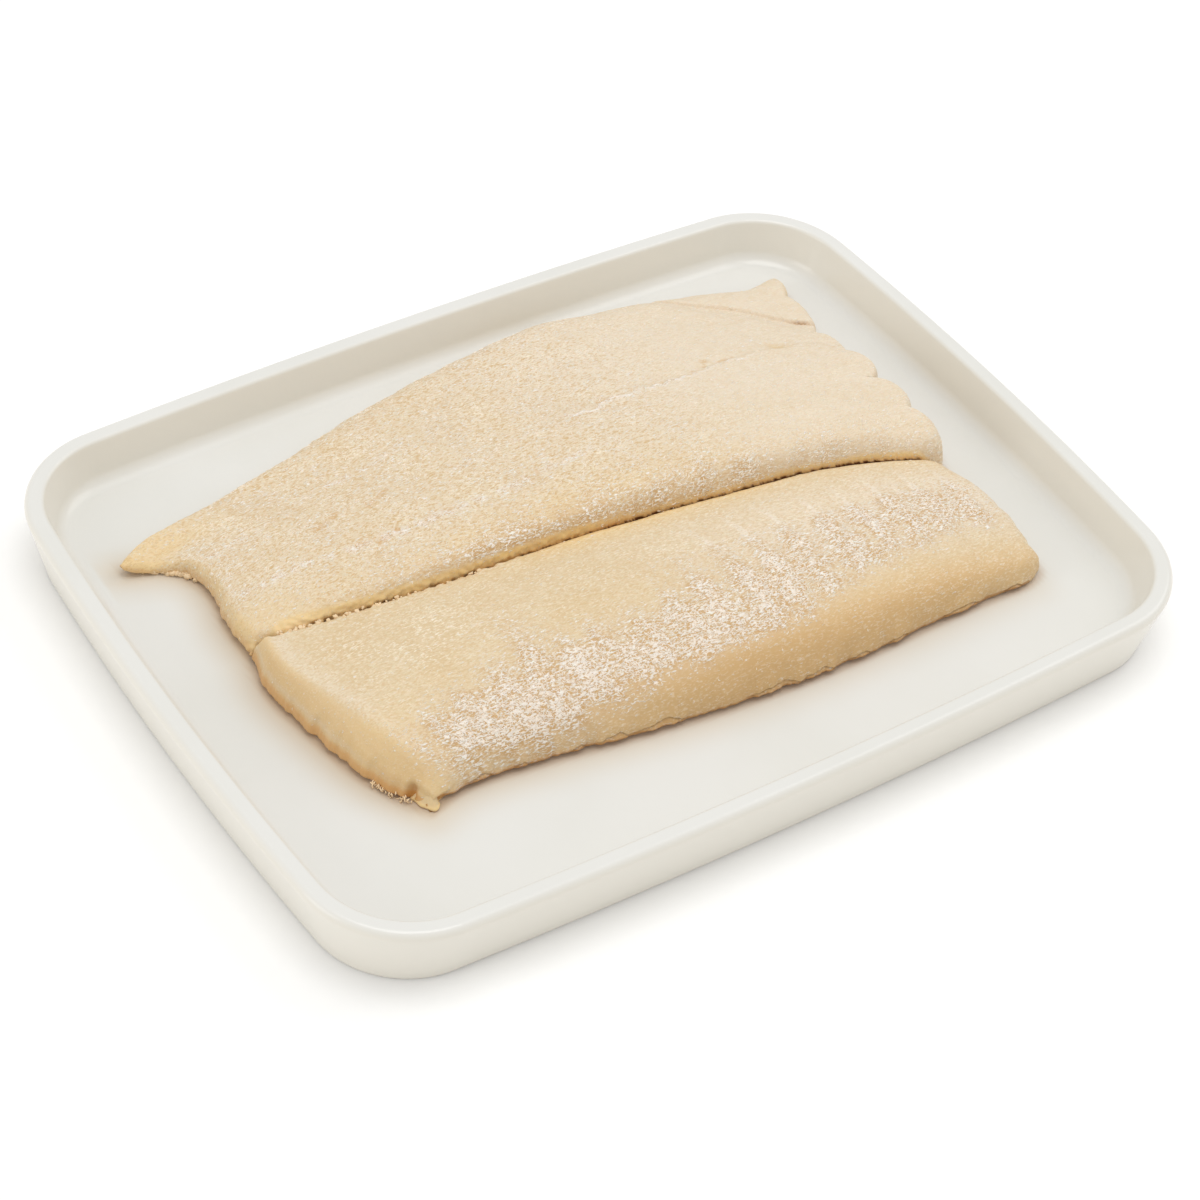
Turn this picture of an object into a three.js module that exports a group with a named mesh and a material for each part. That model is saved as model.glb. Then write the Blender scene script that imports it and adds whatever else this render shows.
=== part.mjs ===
// Plate of salt cod: a shallow rounded tray with two fillets lying side by side on its floor.
// Millimetres, +Z up, X along the tray's long sides, origin at the middle of the tray's base.
import * as THREE from "three";

// Tray
const trayLength = 280;
const trayWidth = 211.2;
const trayHeight = 22.6;
const endBow = 1094; // radius of the gently bowed short sides
const sideBow = 2314; // radius of the gently bowed long sides
const cornerRadius = 31.6;
const floorHeight = 10.05; // upper face of the tray's floor
const floorInset = 13.1; // from the outer outline to where the flat floor starts
const coveRadius = 5;
const innerDraft = THREE.MathUtils.degToRad(19);
const rimOuterRound = 2;
const rimInnerRound = 1.4;
const baseInset = 4.6; // the outer wall leans out by this much on its way up
const baseRound = 1.2;
const footInner = 12.6; // inset of the foot's inner edge
const recessDepth = 3;
const recessSlope = 2;
const cornerSteps = 9;
const sideSteps = 3; // to the middle of a side

// Fish
const restGap = 0.3; // between the fish and the tray's floor
const lengthSteps = 58;
const widthSteps = 34;
const edgeCrowding = 0.72; // 0 spaces the grid evenly, 1 crowds it to the edges
const undercut = 2.8; // how far the underside lies inside the outline
const cragReach = 3; // how far inwards an edge's crags are felt
const notchReach = 14;
const fibreWaves = [
  { count: 7, size: 0.55, turn: 0.4 },
  { count: 17, size: 0.35, turn: 2.1 },
];

// Each fillet is a patch between four edges. Near is the tray's front side, and left comes first.
const frontFillet = {
  near: [[-90.5, -58], [-77, -55], [-53.5, -57.5], [-25, -62], [5, -65.5], [37.5, -67], [76.5, -66],
    [101, -66.5]],
  far: [[-104, 11.5], [-96, 8.4], [-80.5, 6.6], [-50, 4], [-20, 2.9], [12, 0.4], [44, -3.2], [69, -6.9],
    [88, -12.6], [104.5, -20.5]],
  left: [[-90.5, -58], [-99.5, -40.5], [-104.5, -16], [-106.5, -1], [-104, 11.5]],
  right: [[101, -66.5], [107.4, -63.5], [108.8, -53.5], [109.8, -43.5], [108.7, -32.5], [104.5, -20.5]],
  crag: { near: 0.4, far: 0, left: 0.5, right: 0.3 },
  // between the lobes of the right end, as shares of its length
  notches: [
    { at: 0.1, depth: 1, width: 0.03 },
    { at: 0.24, depth: 0.8, width: 0.03 },
    { at: 0.53, depth: 0.6, width: 0.04 },
  ],
  endHeight: 11, // crest over the tray's floor at the left end
  crestRise: 7, // what the thickest part adds
  seamHeight: 10.6, // along the far edge
  edgeHeight: 1.8, // the widest outline's height over the floor
  seamEdgeHeight: 8.4, // the same along the seam
  ribCount: 19,
  ribDepth: 0.3,
  reach: { left: 11.5, right: 7, near: 34, far: 1.4 }, // how far inwards the rounding of each edge runs
};
const backFillet = {
  near: [[-104, 12.3], [-95.8, 9.2], [-80.3, 7.4], [-49.9, 4.8], [-19.9, 3.7], [12.1, 1.2], [44.2, -2.4],
    [69.3, -6.1], [88.4, -11.8], [105, -19.6]],
  far: [[-119, 58], [-111, 62.8], [-90.5, 67.2], [-72, 70.4], [-57, 73.6], [-33, 80.2], [-14, 84],
    [5, 86.8], [24, 89.6], [36, 90.2], [52, 87.4], [70, 84.9], [90, 80.2], [104, 76.3], [115.5, 77.6]],
  left: [[-104, 12.3], [-104, 26], [-102, 38.5], [-105, 49.5], [-119, 58]],
  right: [[105, -19.6], [108.5, -16.5], [111.5, -9.5], [111.8, 0], [111.2, 11], [110.6, 27], [110.2, 40],
    [113.2, 57], [115.4, 71], [115.5, 77.6]],
  crag: { near: 0, far: 0.3, left: 0.4, right: 0 },
  notches: [
    { at: 0.19, depth: 5, width: 0.036 },
    { at: 0.345, depth: 7, width: 0.036 },
    { at: 0.51, depth: 3.2, width: 0.04 },
    { at: 0.66, depth: 3.4, width: 0.04 },
    { at: 0.89, depth: 2.8, width: 0.03 },
  ],
  endHeight: 11.5,
  crestRise: 7,
  edgeHeight: 2.4,
  seamEdgeHeight: 8.9,
  // along the left end: heights of the outline and of its lip, and how far in the flesh goes on rising
  leftEdge: [[0, 2.4], [0.5, 2.2], [0.66, 1.3], [0.85, 0.9], [0.95, 1.8], [1, 3]],
  leftLip: [[0, 8], [0.12, 6.4], [0.5, 5.6], [0.66, 5.4], [0.76, 3.4], [0.87, 2.2], [0.94, 3.4], [1, 4.4]],
  leftRise: 26,
  farLift: [[0, 2], [0.25, 1.3], [0.5, 0.7], [0.65, 0.2], [1, 0]], // extra height of the far edge
  crease: [[0, 0.4], [0.5, 0.43], [0.692, 0.458], [0.8, 0.5], [0.932, 0.57], [1, 0.52]],
  creaseDrop: 0.5, // how much lower the belly side of the long crease lies
  fold: [[0.7, 1.3], [0.83, 0.965], [0.89, 0.878], [0.94, 0.793], [1, 0.7]],
  flapDip: 1.5, // how low the skin lies just in front of the diagonal fold
  flapLift: 0.9, // how far the loose corner behind it stands over that
  reach: { left: 2.4, right: 3, near: 3.6, far: 4 },
};

function ease(x, from, to) {
  const t = THREE.MathUtils.clamp((x - from) / (to - from), 0, 1);
  return t * t * (3 - 2 * t);
}

function bell(x, centre, width) {
  return Math.exp(-(((x - centre) / width) ** 2));
}

// Rises from 0 at an edge to 1 at `width` inside it, steep first and then level.
function shoulder(distance, width, power) {
  const t = THREE.MathUtils.clamp(distance / width, 0, 1);
  return (1 - (1 - t) ** power) ** (1 / power);
}

// Straight steps between listed pairs of place and value.
function along(pairs, place) {
  let k = 1;
  while (k < pairs.length - 1 && place > pairs[k][0]) k++;
  const [[from, low], [to, high]] = [pairs[k - 1], pairs[k]];
  return THREE.MathUtils.lerp(low, high, (place - from) / (to - from));
}

function arc(centreX, centreY, radius, from, to, steps) {
  const points = [];
  for (let i = 0; i <= steps; i++) {
    const angle = from + ((to - from) * i) / steps;
    points.push([centreX + radius * Math.cos(angle), centreY + radius * Math.sin(angle)]);
  }
  return points;
}

function meshOf(name, positions, triangles, material) {
  const geometry = new THREE.BufferGeometry();
  geometry.setAttribute("position", new THREE.Float32BufferAttribute(positions.flat(), 3));
  geometry.setIndex(triangles);
  geometry.computeVertexNormals();
  const mesh = new THREE.Mesh(geometry, material);
  mesh.name = name;
  return mesh;
}

// Joins two rings of the same number of vertices, given by their first indexes.
function band(triangles, lower, upper, count) {
  for (let i = 0; i < count; i++) {
    const next = (i + 1) % count;
    triangles.push(lower + i, lower + next, upper + next);
    triangles.push(lower + i, upper + next, upper + i);
  }
}

// Closes a ring with a flat face that looks up or down.
function lid(triangles, positions, first, count, looksUp) {
  const contour = positions.slice(first, first + count).map(([x, y]) => new THREE.Vector2(x, y));
  for (const [a, b, c] of THREE.ShapeUtils.triangulateShape(contour, [])) {
    const turn = contour[b].clone().sub(contour[a]).cross(contour[c].clone().sub(contour[a]));
    const flip = turn > 0 !== looksUp;
    triangles.push(first + a, first + (flip ? c : b), first + (flip ? b : c));
  }
}

// The tray's outline, set in by `inset`: bowed sides and round corners that run into each other.
function trayOutline(inset) {
  const endX = trayLength / 2 - endBow;
  const sideY = trayWidth / 2 - sideBow;
  // The corner's centre is as far inside both bows as its own radius.
  const endReach = endBow - cornerRadius;
  const sideReach = sideBow - cornerRadius;
  const apart = Math.hypot(endX, sideY);
  const along = (endReach ** 2 - sideReach ** 2 + apart ** 2) / (2 * apart);
  const across = Math.sqrt(endReach ** 2 - along ** 2);
  const toSide = [-endX / apart, sideY / apart];
  const centreX = endX + along * toSide[0] - across * toSide[1];
  const centreY = along * toSide[1] + across * toSide[0];
  const endAngle = Math.atan2(centreY, centreX - endX);
  const sideAngle = Math.atan2(centreY - sideY, centreX);
  const quarter = [
    ...arc(endX, 0, endBow - inset, 0, endAngle, sideSteps).slice(0, -1),
    ...arc(centreX, centreY, cornerRadius - inset, endAngle, sideAngle, cornerSteps),
    ...arc(0, sideY, sideBow - inset, sideAngle, Math.PI / 2, sideSteps).slice(1),
  ];
  const back = quarter.map(([x, y]) => [-x, y]).reverse();
  const left = quarter.map(([x, y]) => [-x, -y]);
  const front = quarter.map(([x, y]) => [x, -y]).reverse();
  return [...quarter, ...back.slice(1), ...left.slice(1), ...front.slice(1, -1)];
}

// The tray's section as [inset, height], from the recess under the floor round to the floor itself.
function traySection() {
  const wall = Math.tan(innerDraft);
  const coveX = floorInset - coveRadius * Math.cos(innerDraft);
  const coveZ = floorHeight + coveRadius * (1 - Math.sin(innerDraft));
  const lipX = coveX - (trayHeight - coveZ) * wall; // where the inner wall would meet the rim's top
  const lipBack = rimInnerRound * Math.tan((Math.PI / 2 - innerDraft) / 2);
  return [
    [footInner + recessSlope, recessDepth],
    [footInner, 0],
    ...arc(baseInset + baseRound, baseRound, baseRound, -Math.PI / 2, -Math.PI, 2),
    ...arc(rimOuterRound, trayHeight - rimOuterRound, rimOuterRound, Math.PI, Math.PI / 2, 4),
    ...arc(lipX - lipBack, trayHeight - rimInnerRound, rimInnerRound, Math.PI / 2, innerDraft, 3),
    ...arc(floorInset, floorHeight + coveRadius, coveRadius, Math.PI + innerDraft, Math.PI * 1.5, 5),
  ];
}

function makeTray() {
  const positions = [];
  const triangles = [];
  const section = traySection();
  for (const [inset, z] of section) {
    for (const [x, y] of trayOutline(inset)) positions.push([x, y, z]);
  }
  const count = positions.length / section.length;
  lid(triangles, positions, 0, count, false);
  for (let i = 1; i < section.length; i++) band(triangles, (i - 1) * count, i * count, count);
  lid(triangles, positions, positions.length - count, count, true);
  const glaze = new THREE.MeshStandardMaterial({ color: "#ebeae5", roughness: 0.25, metalness: 0 });
  return meshOf("plate", positions, triangles, glaze);
}

// How far an edge strays outwards at a share of its length: slow crags that fade at its corners, and on the
// right end the notches between its lobes. Both fade with the distance inside the edge.
function strayAt(fillet, side, share, inside) {
  const turnOf = (wave) => 2 * Math.PI * wave.count * share + wave.turn;
  const waves = fibreWaves.reduce((sum, wave) => sum + wave.size * Math.sin(turnOf(wave)), 0);
  const crag = fillet.crag[side] * Math.sin(Math.PI * share) ** 0.5 * waves * ease(inside, cragReach, 0);
  if (side !== "right") return crag;
  const depths = fillet.notches.map((n) => n.depth * Math.exp(-Math.abs(share - n.at) / n.width));
  return crag - depths.reduce((sum, depth) => sum + depth) * ease(inside, notchReach, 0);
}

// Straight distance between the two ends of a fillet's near edge.
function lengthOf({ near }) {
  return Math.hypot(near.at(-1)[0] - near[0][0], near.at(-1)[1] - near[0][1]);
}

// A transfinite patch: the four edges blended, so that any u, v in 0..1 gives a place in plan. The crags of
// each edge are kept close to it.
function patchOf(fillet) {
  const edgeOf = (points) => {
    const curve = new THREE.SplineCurve(points.map(([x, y]) => new THREE.Vector2(x, y)));
    curve.arcLengthDivisions = 400;
    return (share) => curve.getPointAt(share).toArray();
  };
  const near = edgeOf(fillet.near);
  const far = edgeOf(fillet.far);
  const left = edgeOf(fillet.left);
  const right = edgeOf(fillet.right);
  const corners = [near(0), near(1), far(0), far(1)];
  const span = (a, b) => Math.hypot(a[0] - b[0], a[1] - b[1]);
  const length = lengthOf(fillet);
  const widthAt = (u) => span(near(u), far(u));
  const at = (u, v) => {
    const width = widthAt(u);
    const stray = [
      strayAt(fillet, "right", v, (1 - u) * length) - strayAt(fillet, "left", v, u * length),
      strayAt(fillet, "far", u, (1 - v) * width) - strayAt(fillet, "near", u, v * width),
    ];
    return stray.map(
      (offset, k) =>
        offset + (1 - v) * near(u)[k] + v * far(u)[k] + (1 - u) * left(v)[k] + u * right(v)[k] -
        (1 - u) * (1 - v) * corners[0][k] - u * (1 - v) * corners[1][k] -
        (1 - u) * v * corners[2][k] - u * v * corners[3][k],
    );
  };
  return { at, length, widthAt };
}

// 1 along a fillet and 0 at its two ends.
function inner(u) {
  return ease(u, 0, 0.05) * ease(u, 1, 0.96);
}

// The front fillet's upper side: a crowned loin, thinner to the seam, with rounded cross ribs.
function frontForm(u, v) {
  const f = frontFillet;
  const crest = f.endHeight + f.crestRise * Math.sin(Math.PI * (0.12 + 0.8 * u)) - 2 * ease(u, 0.75, 1);
  const seam = f.seamHeight + 0.9 * Math.sin(Math.PI * u);
  const across = v < 0.31 ? 1 : Math.sin(Math.PI * (0.28 + 0.72 * v));
  const ribs = Math.cos(2 * Math.PI * f.ribCount * (u - 0.171 - 0.03 * (v - 0.3)));
  const seamEdge = f.seamEdgeHeight + 1.1 * ease(u, 0.55, 0.3);
  return {
    height: seam + (crest - seam) * across - f.ribDepth * ribs * bell(v, 0.35, 0.3),
    edge: f.edgeHeight + (seamEdge - f.edgeHeight) * ease(v, 0.85, 1) * inner(u),
    left: [f.reach.left - 8 * v, 1.9],
    right: [f.reach.right, 2.2],
    near: [f.reach.near - 10 * ease(u, 0.15, 0), 2.3],
    far: [f.reach.far + ease(u, 0.3, 0.55), 2],
  };
}

// The back fillet's upper side: thick at the seam, thin to the belly, lower beyond the long crease. It has a lip
// along the left end and a loose corner behind the diagonal fold.
function backForm(u, v) {
  const f = backFillet;
  const crest = f.endHeight + f.crestRise * Math.sin(Math.PI * (0.05 + 0.7 * u));
  const across = 0.93 + 0.07 * Math.sin(Math.PI * Math.min(2 * v, 1)) - 0.34 * ease(v, 0.3, 1);
  const thin = ease(v, 0.45, 1) * (0.55 * bell(u, 0, 0.22) + 0.3 * bell(u, 1, 0.2));
  const creaseAt = along(f.crease, u);
  const drop = ease(v, creaseAt - 0.015, creaseAt + 0.025) * ease(u, 0.3, 0.8);
  const foldAt = along(f.fold, u);
  const dip = ease(v, foldAt - 0.1, foldAt) * ease(u, 0.72, 0.86);
  const rise = ease(v, foldAt - 0.015, foldAt + 0.02) * ease(u, 0.72, 0.86);
  const swell = 0.35 * Math.sin(11 * u + 2 * v) * Math.sin(7 * v + 1);
  const fold = f.flapLift * rise - f.flapDip * dip;
  const full = crest * across * (1 - thin) - f.creaseDrop * drop + fold + swell;
  const lip = along(f.leftLip, v);
  const lift = along(f.farLift, u) * ease(v, 0.75, 1);
  const edge = f.edgeHeight + (f.seamEdgeHeight - f.edgeHeight) * ease(v, 0.14, 0) * inner(u) + lift;
  return {
    height: lip + (Math.max(full, edge + 1) - lip) * shoulder(u * lengthOf(f), f.leftRise, 1.6),
    edge: edge + (along(f.leftEdge, v) - edge) * ease(u, 0.04, 0),
    left: [f.reach.left, 2.1],
    right: [f.reach.right + 3 * ease(v, 0.4, 0.05), 2.2],
    near: [f.reach.near + 2.6 * ease(u, 0.42, 0.62), 2.2],
    far: [f.reach.far + 7 * ease(u, 0.1, 0.5), 2.2],
  };
}

function makeFillet(name, fillet, form, colour) {
  const patch = patchOf(fillet);
  const spaced = (i, steps) =>
    THREE.MathUtils.lerp(i / steps, 0.5 - 0.5 * Math.cos((Math.PI * i) / steps), edgeCrowding);
  const bottom = floorHeight + restGap;
  const positions = [];
  const triangles = [];
  const rim = []; // the grid's border, anticlockwise from above, as [u, v, vertex]
  const index = (i, j) => i * (widthSteps + 1) + j;

  for (let i = 0; i <= lengthSteps; i++) {
    for (let j = 0; j <= widthSteps; j++) {
      const u = spaced(i, lengthSteps);
      const v = spaced(j, widthSteps);
      const shape = form(u, v);
      const width = patch.widthAt(u);
      const body =
        shoulder(u * patch.length, ...shape.left) * shoulder((1 - u) * patch.length, ...shape.right) *
        shoulder(v * width, ...shape.near) * shoulder((1 - v) * width, ...shape.far);
      positions.push([...patch.at(u, v), floorHeight + shape.edge + (shape.height - shape.edge) * body]);
      if (i === lengthSteps || j === widthSteps) continue;
      triangles.push(index(i, j), index(i + 1, j), index(i + 1, j + 1));
      triangles.push(index(i, j), index(i + 1, j + 1), index(i, j + 1));
    }
  }

  const border = (i, j) => rim.push([spaced(i, lengthSteps), spaced(j, widthSteps), index(i, j)]);
  for (let i = 0; i < lengthSteps; i++) border(i, 0);
  for (let j = 0; j < widthSteps; j++) border(lengthSteps, j);
  for (let i = lengthSteps; i > 0; i--) border(i, widthSteps);
  for (let j = widthSteps; j > 0; j--) border(0, j);

  // The side turns under the widest outline in two bands, and a flat underside closes it.
  let upper = rim.map(([, , vertex]) => vertex);
  for (const [inset, share] of [[0.25 * undercut, 0.45], [undercut, 0]]) {
    const lower = rim.map(([u, v]) => {
      const alongShare = 1 - (2 * inset) / patch.length;
      const acrossShare = 1 - (2 * inset) / Math.max(patch.widthAt(u), 4 * undercut);
      const place = patch.at(0.5 + (u - 0.5) * alongShare, 0.5 + (v - 0.5) * acrossShare);
      const drop = bottom + share * (form(u, v).edge - restGap);
      return positions.push([...place, drop]) - 1;
    });
    for (let i = 0; i < rim.length; i++) {
      const next = (i + 1) % rim.length;
      triangles.push(lower[i], lower[next], upper[next]);
      triangles.push(lower[i], upper[next], upper[i]);
    }
    upper = lower;
  }
  lid(triangles, positions, upper[0], rim.length, false);
  const flesh = new THREE.MeshStandardMaterial({ color: colour, roughness: 0.6, metalness: 0 });
  return meshOf(name, positions, triangles, flesh);
}

const plateOfSaltCod = new THREE.Group();
plateOfSaltCod.add(makeTray());
plateOfSaltCod.add(makeFillet("fillet_back", backFillet, backForm, "#e8d2a8"));
plateOfSaltCod.add(makeFillet("fillet_front", frontFillet, frontForm, "#e2c79a"));

export default plateOfSaltCod;
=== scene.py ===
# Plate of salt cod: a white glazed tray with two salted fillets lying side by side on its floor.
# Shapes are worked out in millimetres and become metres when they are put into a mesh.
import math
import bpy
import numpy as np
from mathutils import Matrix, Vector


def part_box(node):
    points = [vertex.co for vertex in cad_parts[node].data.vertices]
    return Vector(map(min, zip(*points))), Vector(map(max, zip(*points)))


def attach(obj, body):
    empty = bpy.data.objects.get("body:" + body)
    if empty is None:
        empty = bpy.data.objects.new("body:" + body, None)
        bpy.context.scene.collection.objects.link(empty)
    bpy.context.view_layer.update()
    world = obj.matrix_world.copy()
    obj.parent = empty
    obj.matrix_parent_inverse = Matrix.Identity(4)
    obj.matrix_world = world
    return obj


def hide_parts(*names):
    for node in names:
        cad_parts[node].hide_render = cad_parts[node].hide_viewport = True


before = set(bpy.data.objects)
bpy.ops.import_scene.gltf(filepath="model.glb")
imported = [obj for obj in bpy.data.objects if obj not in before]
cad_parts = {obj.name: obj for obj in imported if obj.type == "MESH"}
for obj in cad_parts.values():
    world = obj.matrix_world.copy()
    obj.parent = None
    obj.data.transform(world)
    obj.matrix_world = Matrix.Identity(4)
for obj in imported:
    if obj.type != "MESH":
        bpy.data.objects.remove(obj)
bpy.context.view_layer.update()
plateLow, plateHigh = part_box("plate")
print("frame loaded:", sorted(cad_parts))

mm = 0.001


# Shape helpers

# Values kept within 0..1.
def held(x):
    return np.clip(x, 0, 1)


# Smoothstep: 0 at start, 1 at end, level at both.
def ease(x, start, end):
    t = held((x - start) / (end - start))
    return t * t * (3 - 2 * t)


# Straight steps between listed pairs of place and value.
def along(pairs, place):
    return np.interp(place, *zip(*pairs))


# Bell curve of height 1.
def bell(x, centre, width):
    return np.exp(-(((x - centre) / width) ** 2))


# Quarter of a superellipse: rises from 0 at an edge to 1 at width inside it, steep first and then level.
def shoulder(distance, width, power):
    t = held(distance / width)
    return (1 - (1 - t) ** power) ** (1 / power)


# Gradient noise, about -1..1: each knot of a square net has a random slope, and the slopes are blended
# between four knots by a quintic. Size is the net's mesh in the units of x and y.
def wander(x, y, size, seed):
    turn = np.random.default_rng(seed).uniform(0, 2 * np.pi, (256, 256))
    gx, gy = np.broadcast_arrays(x / size, y / size)
    i, j = np.floor(gx).astype(int), np.floor(gy).astype(int)
    fx, fy = gx - i, gy - j
    sx, sy = (f**3 * (f * (6 * f - 15) + 10) for f in (fx, fy))

    def knot(a, b):
        angle = turn[(i + a) % 256, (j + b) % 256]
        return np.cos(angle) * (fx - a) + np.sin(angle) * (fy - b)

    low = knot(0, 0) + sx * (knot(1, 0) - knot(0, 0))
    high = knot(0, 1) + sx * (knot(1, 1) - knot(0, 1))
    return 1.5 * (low + sy * (high - low))


# Noise drawn out into strokes: the plane is turned by angle and stretched along the strokes.
def strokes(x, y, width, length, angle, seed):
    forth = x * np.cos(angle) + y * np.sin(angle)
    across = y * np.cos(angle) - x * np.sin(angle)
    return wander(forth / length, across / width, 1, seed)


# Uniform Catmull-Rom curve through the points, read at shares of its own length.
def curveThrough(points, share):
    knots = np.array(points, float)

    def at(t):
        place = t * (len(knots) - 1)
        i = np.minimum(place.astype(int), len(knots) - 2)
        w = (place - i)[..., None]
        p0, p1, p2, p3 = (knots[np.clip(i + k, 0, len(knots) - 1)] for k in (-1, 0, 1, 2))
        pull, push = 0.5 * (p2 - p0), 0.5 * (p3 - p1)
        bend = (2 * p1 - 2 * p2 + pull + push) * w**3 + (3 * p2 - 3 * p1 - 2 * pull - push) * w**2
        return bend + pull * w + p1

    steps = np.linspace(0, 1, 1601)
    travelled = np.append(0, np.cumsum(np.linalg.norm(np.diff(at(steps), axis=0), axis=1)))
    return at(np.interp(share * travelled[-1], travelled, steps))


# Puts points (mm) and faces into a new mesh object. Layers are numbers on the vertices.
def addPiece(name, points, faces, finish, layers=None):
    mesh = bpy.data.meshes.new(name)
    mesh.from_pydata((np.asarray(points) * mm).tolist(), [], faces)
    mesh.shade_smooth()
    for layer, values in (layers or {}).items():
        made = mesh.attributes.new(layer, "FLOAT", "POINT")
        made.data.foreach_set("value", np.ascontiguousarray(values, np.float32).ravel())
    mesh.validate()
    mesh.materials.append(finish)
    piece = bpy.data.objects.new(name, mesh)
    bpy.context.scene.collection.objects.link(piece)
    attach(piece, "root")
    triangles = sum(len(face) - 2 for face in faces)
    print("  ", name, len(points), "points", triangles, "triangles")
    return piece


# Faces between rows of a grid that is numbered row by row; closed rows join their last point to the first.
def gridFaces(rows, columns, closed=False, first=0):
    across = columns if closed else columns - 1
    i, j = np.meshgrid(np.arange(rows - 1), np.arange(across), indexing="ij")
    nextJ = (j + 1) % columns
    corners = [i * columns + j, i * columns + nextJ, (i + 1) * columns + nextJ, (i + 1) * columns + j]
    return (np.stack(corners, -1).reshape(-1, 4) + first).tolist()


# A line in plan, lifted to one height.
def level(line, height):
    return np.column_stack([line, np.full(len(line), height)])


# Rings of equal count joined into one closed shell, with a pole under the first ring and one over the last.
def closedShell(rings, low, high):
    count, last = len(rings[0]), (len(rings) - 1) * len(rings[0])
    points = np.concatenate(rings + [[low, high]])
    around = np.arange(count)
    nextOne = (around + 1) % count
    faces = gridFaces(len(rings), count, closed=True)
    faces += np.stack([np.full(count, len(points) - 2), nextOne, around], -1).tolist()
    faces += np.stack([last + around, last + nextOne, np.full(count, len(points) - 1)], -1).tolist()
    return points, faces


# Shader helper: wraps one socket, so that sums and products of wires and numbers become Math nodes.
class Wire:
    def __init__(self, tree, socket=None):
        self.tree = tree
        self.socket = socket

    # Adds a node: its settings are set first, then its sockets take values or wires.
    def node(self, kind, settings=None, sockets=None, output=0):
        made = self.tree.nodes.new(kind)
        for key, value in (settings or {}).items():
            setattr(made, key, value)
        for key, value in (sockets or {}).items():
            if isinstance(value, Wire):
                self.tree.links.new(value.socket, made.inputs[key])
            else:
                made.inputs[key].default_value = value
        return Wire(self.tree, made.outputs[output])

    # Where the shaded point lies on its own object.
    def place(self):
        return self.node("ShaderNodeTexCoord", output=3)

    # The named numbers that the vertices carry.
    def layers(self, *names):
        return [self.node("ShaderNodeAttribute", {"attribute_name": name}, output=2) for name in names]

    def math(self, operation, first, second=0.0):
        return self.node("ShaderNodeMath", {"operation": operation}, {0: first, 1: second})

    def __add__(self, other):
        return self.math("ADD", self, other)

    def __sub__(self, other):
        return self.math("SUBTRACT", self, other)

    def __rsub__(self, other):
        return self.math("SUBTRACT", other, self)

    def __mul__(self, other):
        return self.math("MULTIPLY", self, other)

    def __pow__(self, other):
        return self.math("POWER", self, other)

    __radd__ = __add__
    __rmul__ = __mul__

    # Smoothstep of this value between two limits, as 0..1.
    def eased(self, start, end):
        limits = {"Value": self, "From Min": start, "From Max": end}
        return self.node("ShaderNodeMapRange", {"interpolation_type": "SMOOTHSTEP"}, limits)

    # This value picks between two colours.
    def between(self, first, second):
        return self.node("ShaderNodeMix", {"data_type": "RGBA"}, {0: self, 6: first, 7: second}, 2)

    # Noise that reads this vector, with its feature size in the vector's units.
    def noise(self, size, detail=2.0, distortion=0.0):
        sockets = {"Vector": self, "Scale": 1 / size, "Detail": detail, "Distortion": distortion}
        return self.node("ShaderNodeTexNoise", {}, sockets)

    # This vector with each of its axes scaled.
    def scaled(self, factors):
        return self.node("ShaderNodeVectorMath", {"operation": "MULTIPLY"}, {0: self, 1: factors})

    # This vector moved by an offset.
    def moved(self, offset):
        return self.node("ShaderNodeVectorMath", {"operation": "ADD"}, {0: self, 1: offset})

    # Short strokes: noise that is drawn out to length along a direction on the ground, and width across it.
    def weave(self, length, width, degrees):
        sizes = (1 / length, 1 / width, 1 / width)
        turned = {"Vector": self, "Rotation": (0, 0, math.radians(degrees)), "Scale": sizes}
        return self.node("ShaderNodeMapping", {}, turned).noise(1.0, 2.0, 0.7)

    # The larger of this value and another.
    def over(self, other):
        return self.math("MAXIMUM", self, other)


# Linear colour from the 0..255 values that a screen shows.
def tone(red, green, blue):
    shares = [value / 255 for value in (red, green, blue)]
    return tuple(s / 12.92 if s <= 0.04045 else ((s + 0.055) / 1.055) ** 2.4 for s in shares) + (1.0,)


# A new material with one Principled shader: fixed values are set here, and varying ones are linked by feed.
def newFinish(name, fixed):
    finish = bpy.data.materials.new(name)
    finish.use_nodes = True
    tree = finish.node_tree
    shader = tree.nodes["Principled BSDF"]
    for key, value in fixed.items():
        shader.inputs[key].default_value = value
    return finish, Wire(tree), shader


# Links wires to sockets of a shader by their names.
def feed(shader, links):
    for key, value in links.items():
        value.tree.links.new(value.socket, shader.inputs[key])


view = {
    "place": (-0.39364, -0.50671, 0.61379),  # metres
    "turn": 37.938,  # degrees from +Y towards +X
    "tilt": 43.970,  # degrees below the horizon
    "roll": 6.495,
    "lens": 94.52,
    "sensor": 36,
}

light = {
    "sky": 0.69,
    "skyTone": (1.0, 0.995, 0.985, 1),
    # softboxes: place, power, size
    "boxes": {
        "top_softbox": ((0, 0, 2.1), 12.0, 1.2),
        "right_softbox": ((1.4, 0, 1.5), 6.5, 1.2),
        "left_softbox": ((-1.8, 0.3, 0.7), 5.3, 1.0),
    },
    "paperTone": (249, 249, 249),
    "paperCloud": (251, 251, 250),
    "paperReach": 6.0,  # half the floor's side in metres
    "paperGlow": 0.05,
}


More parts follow.
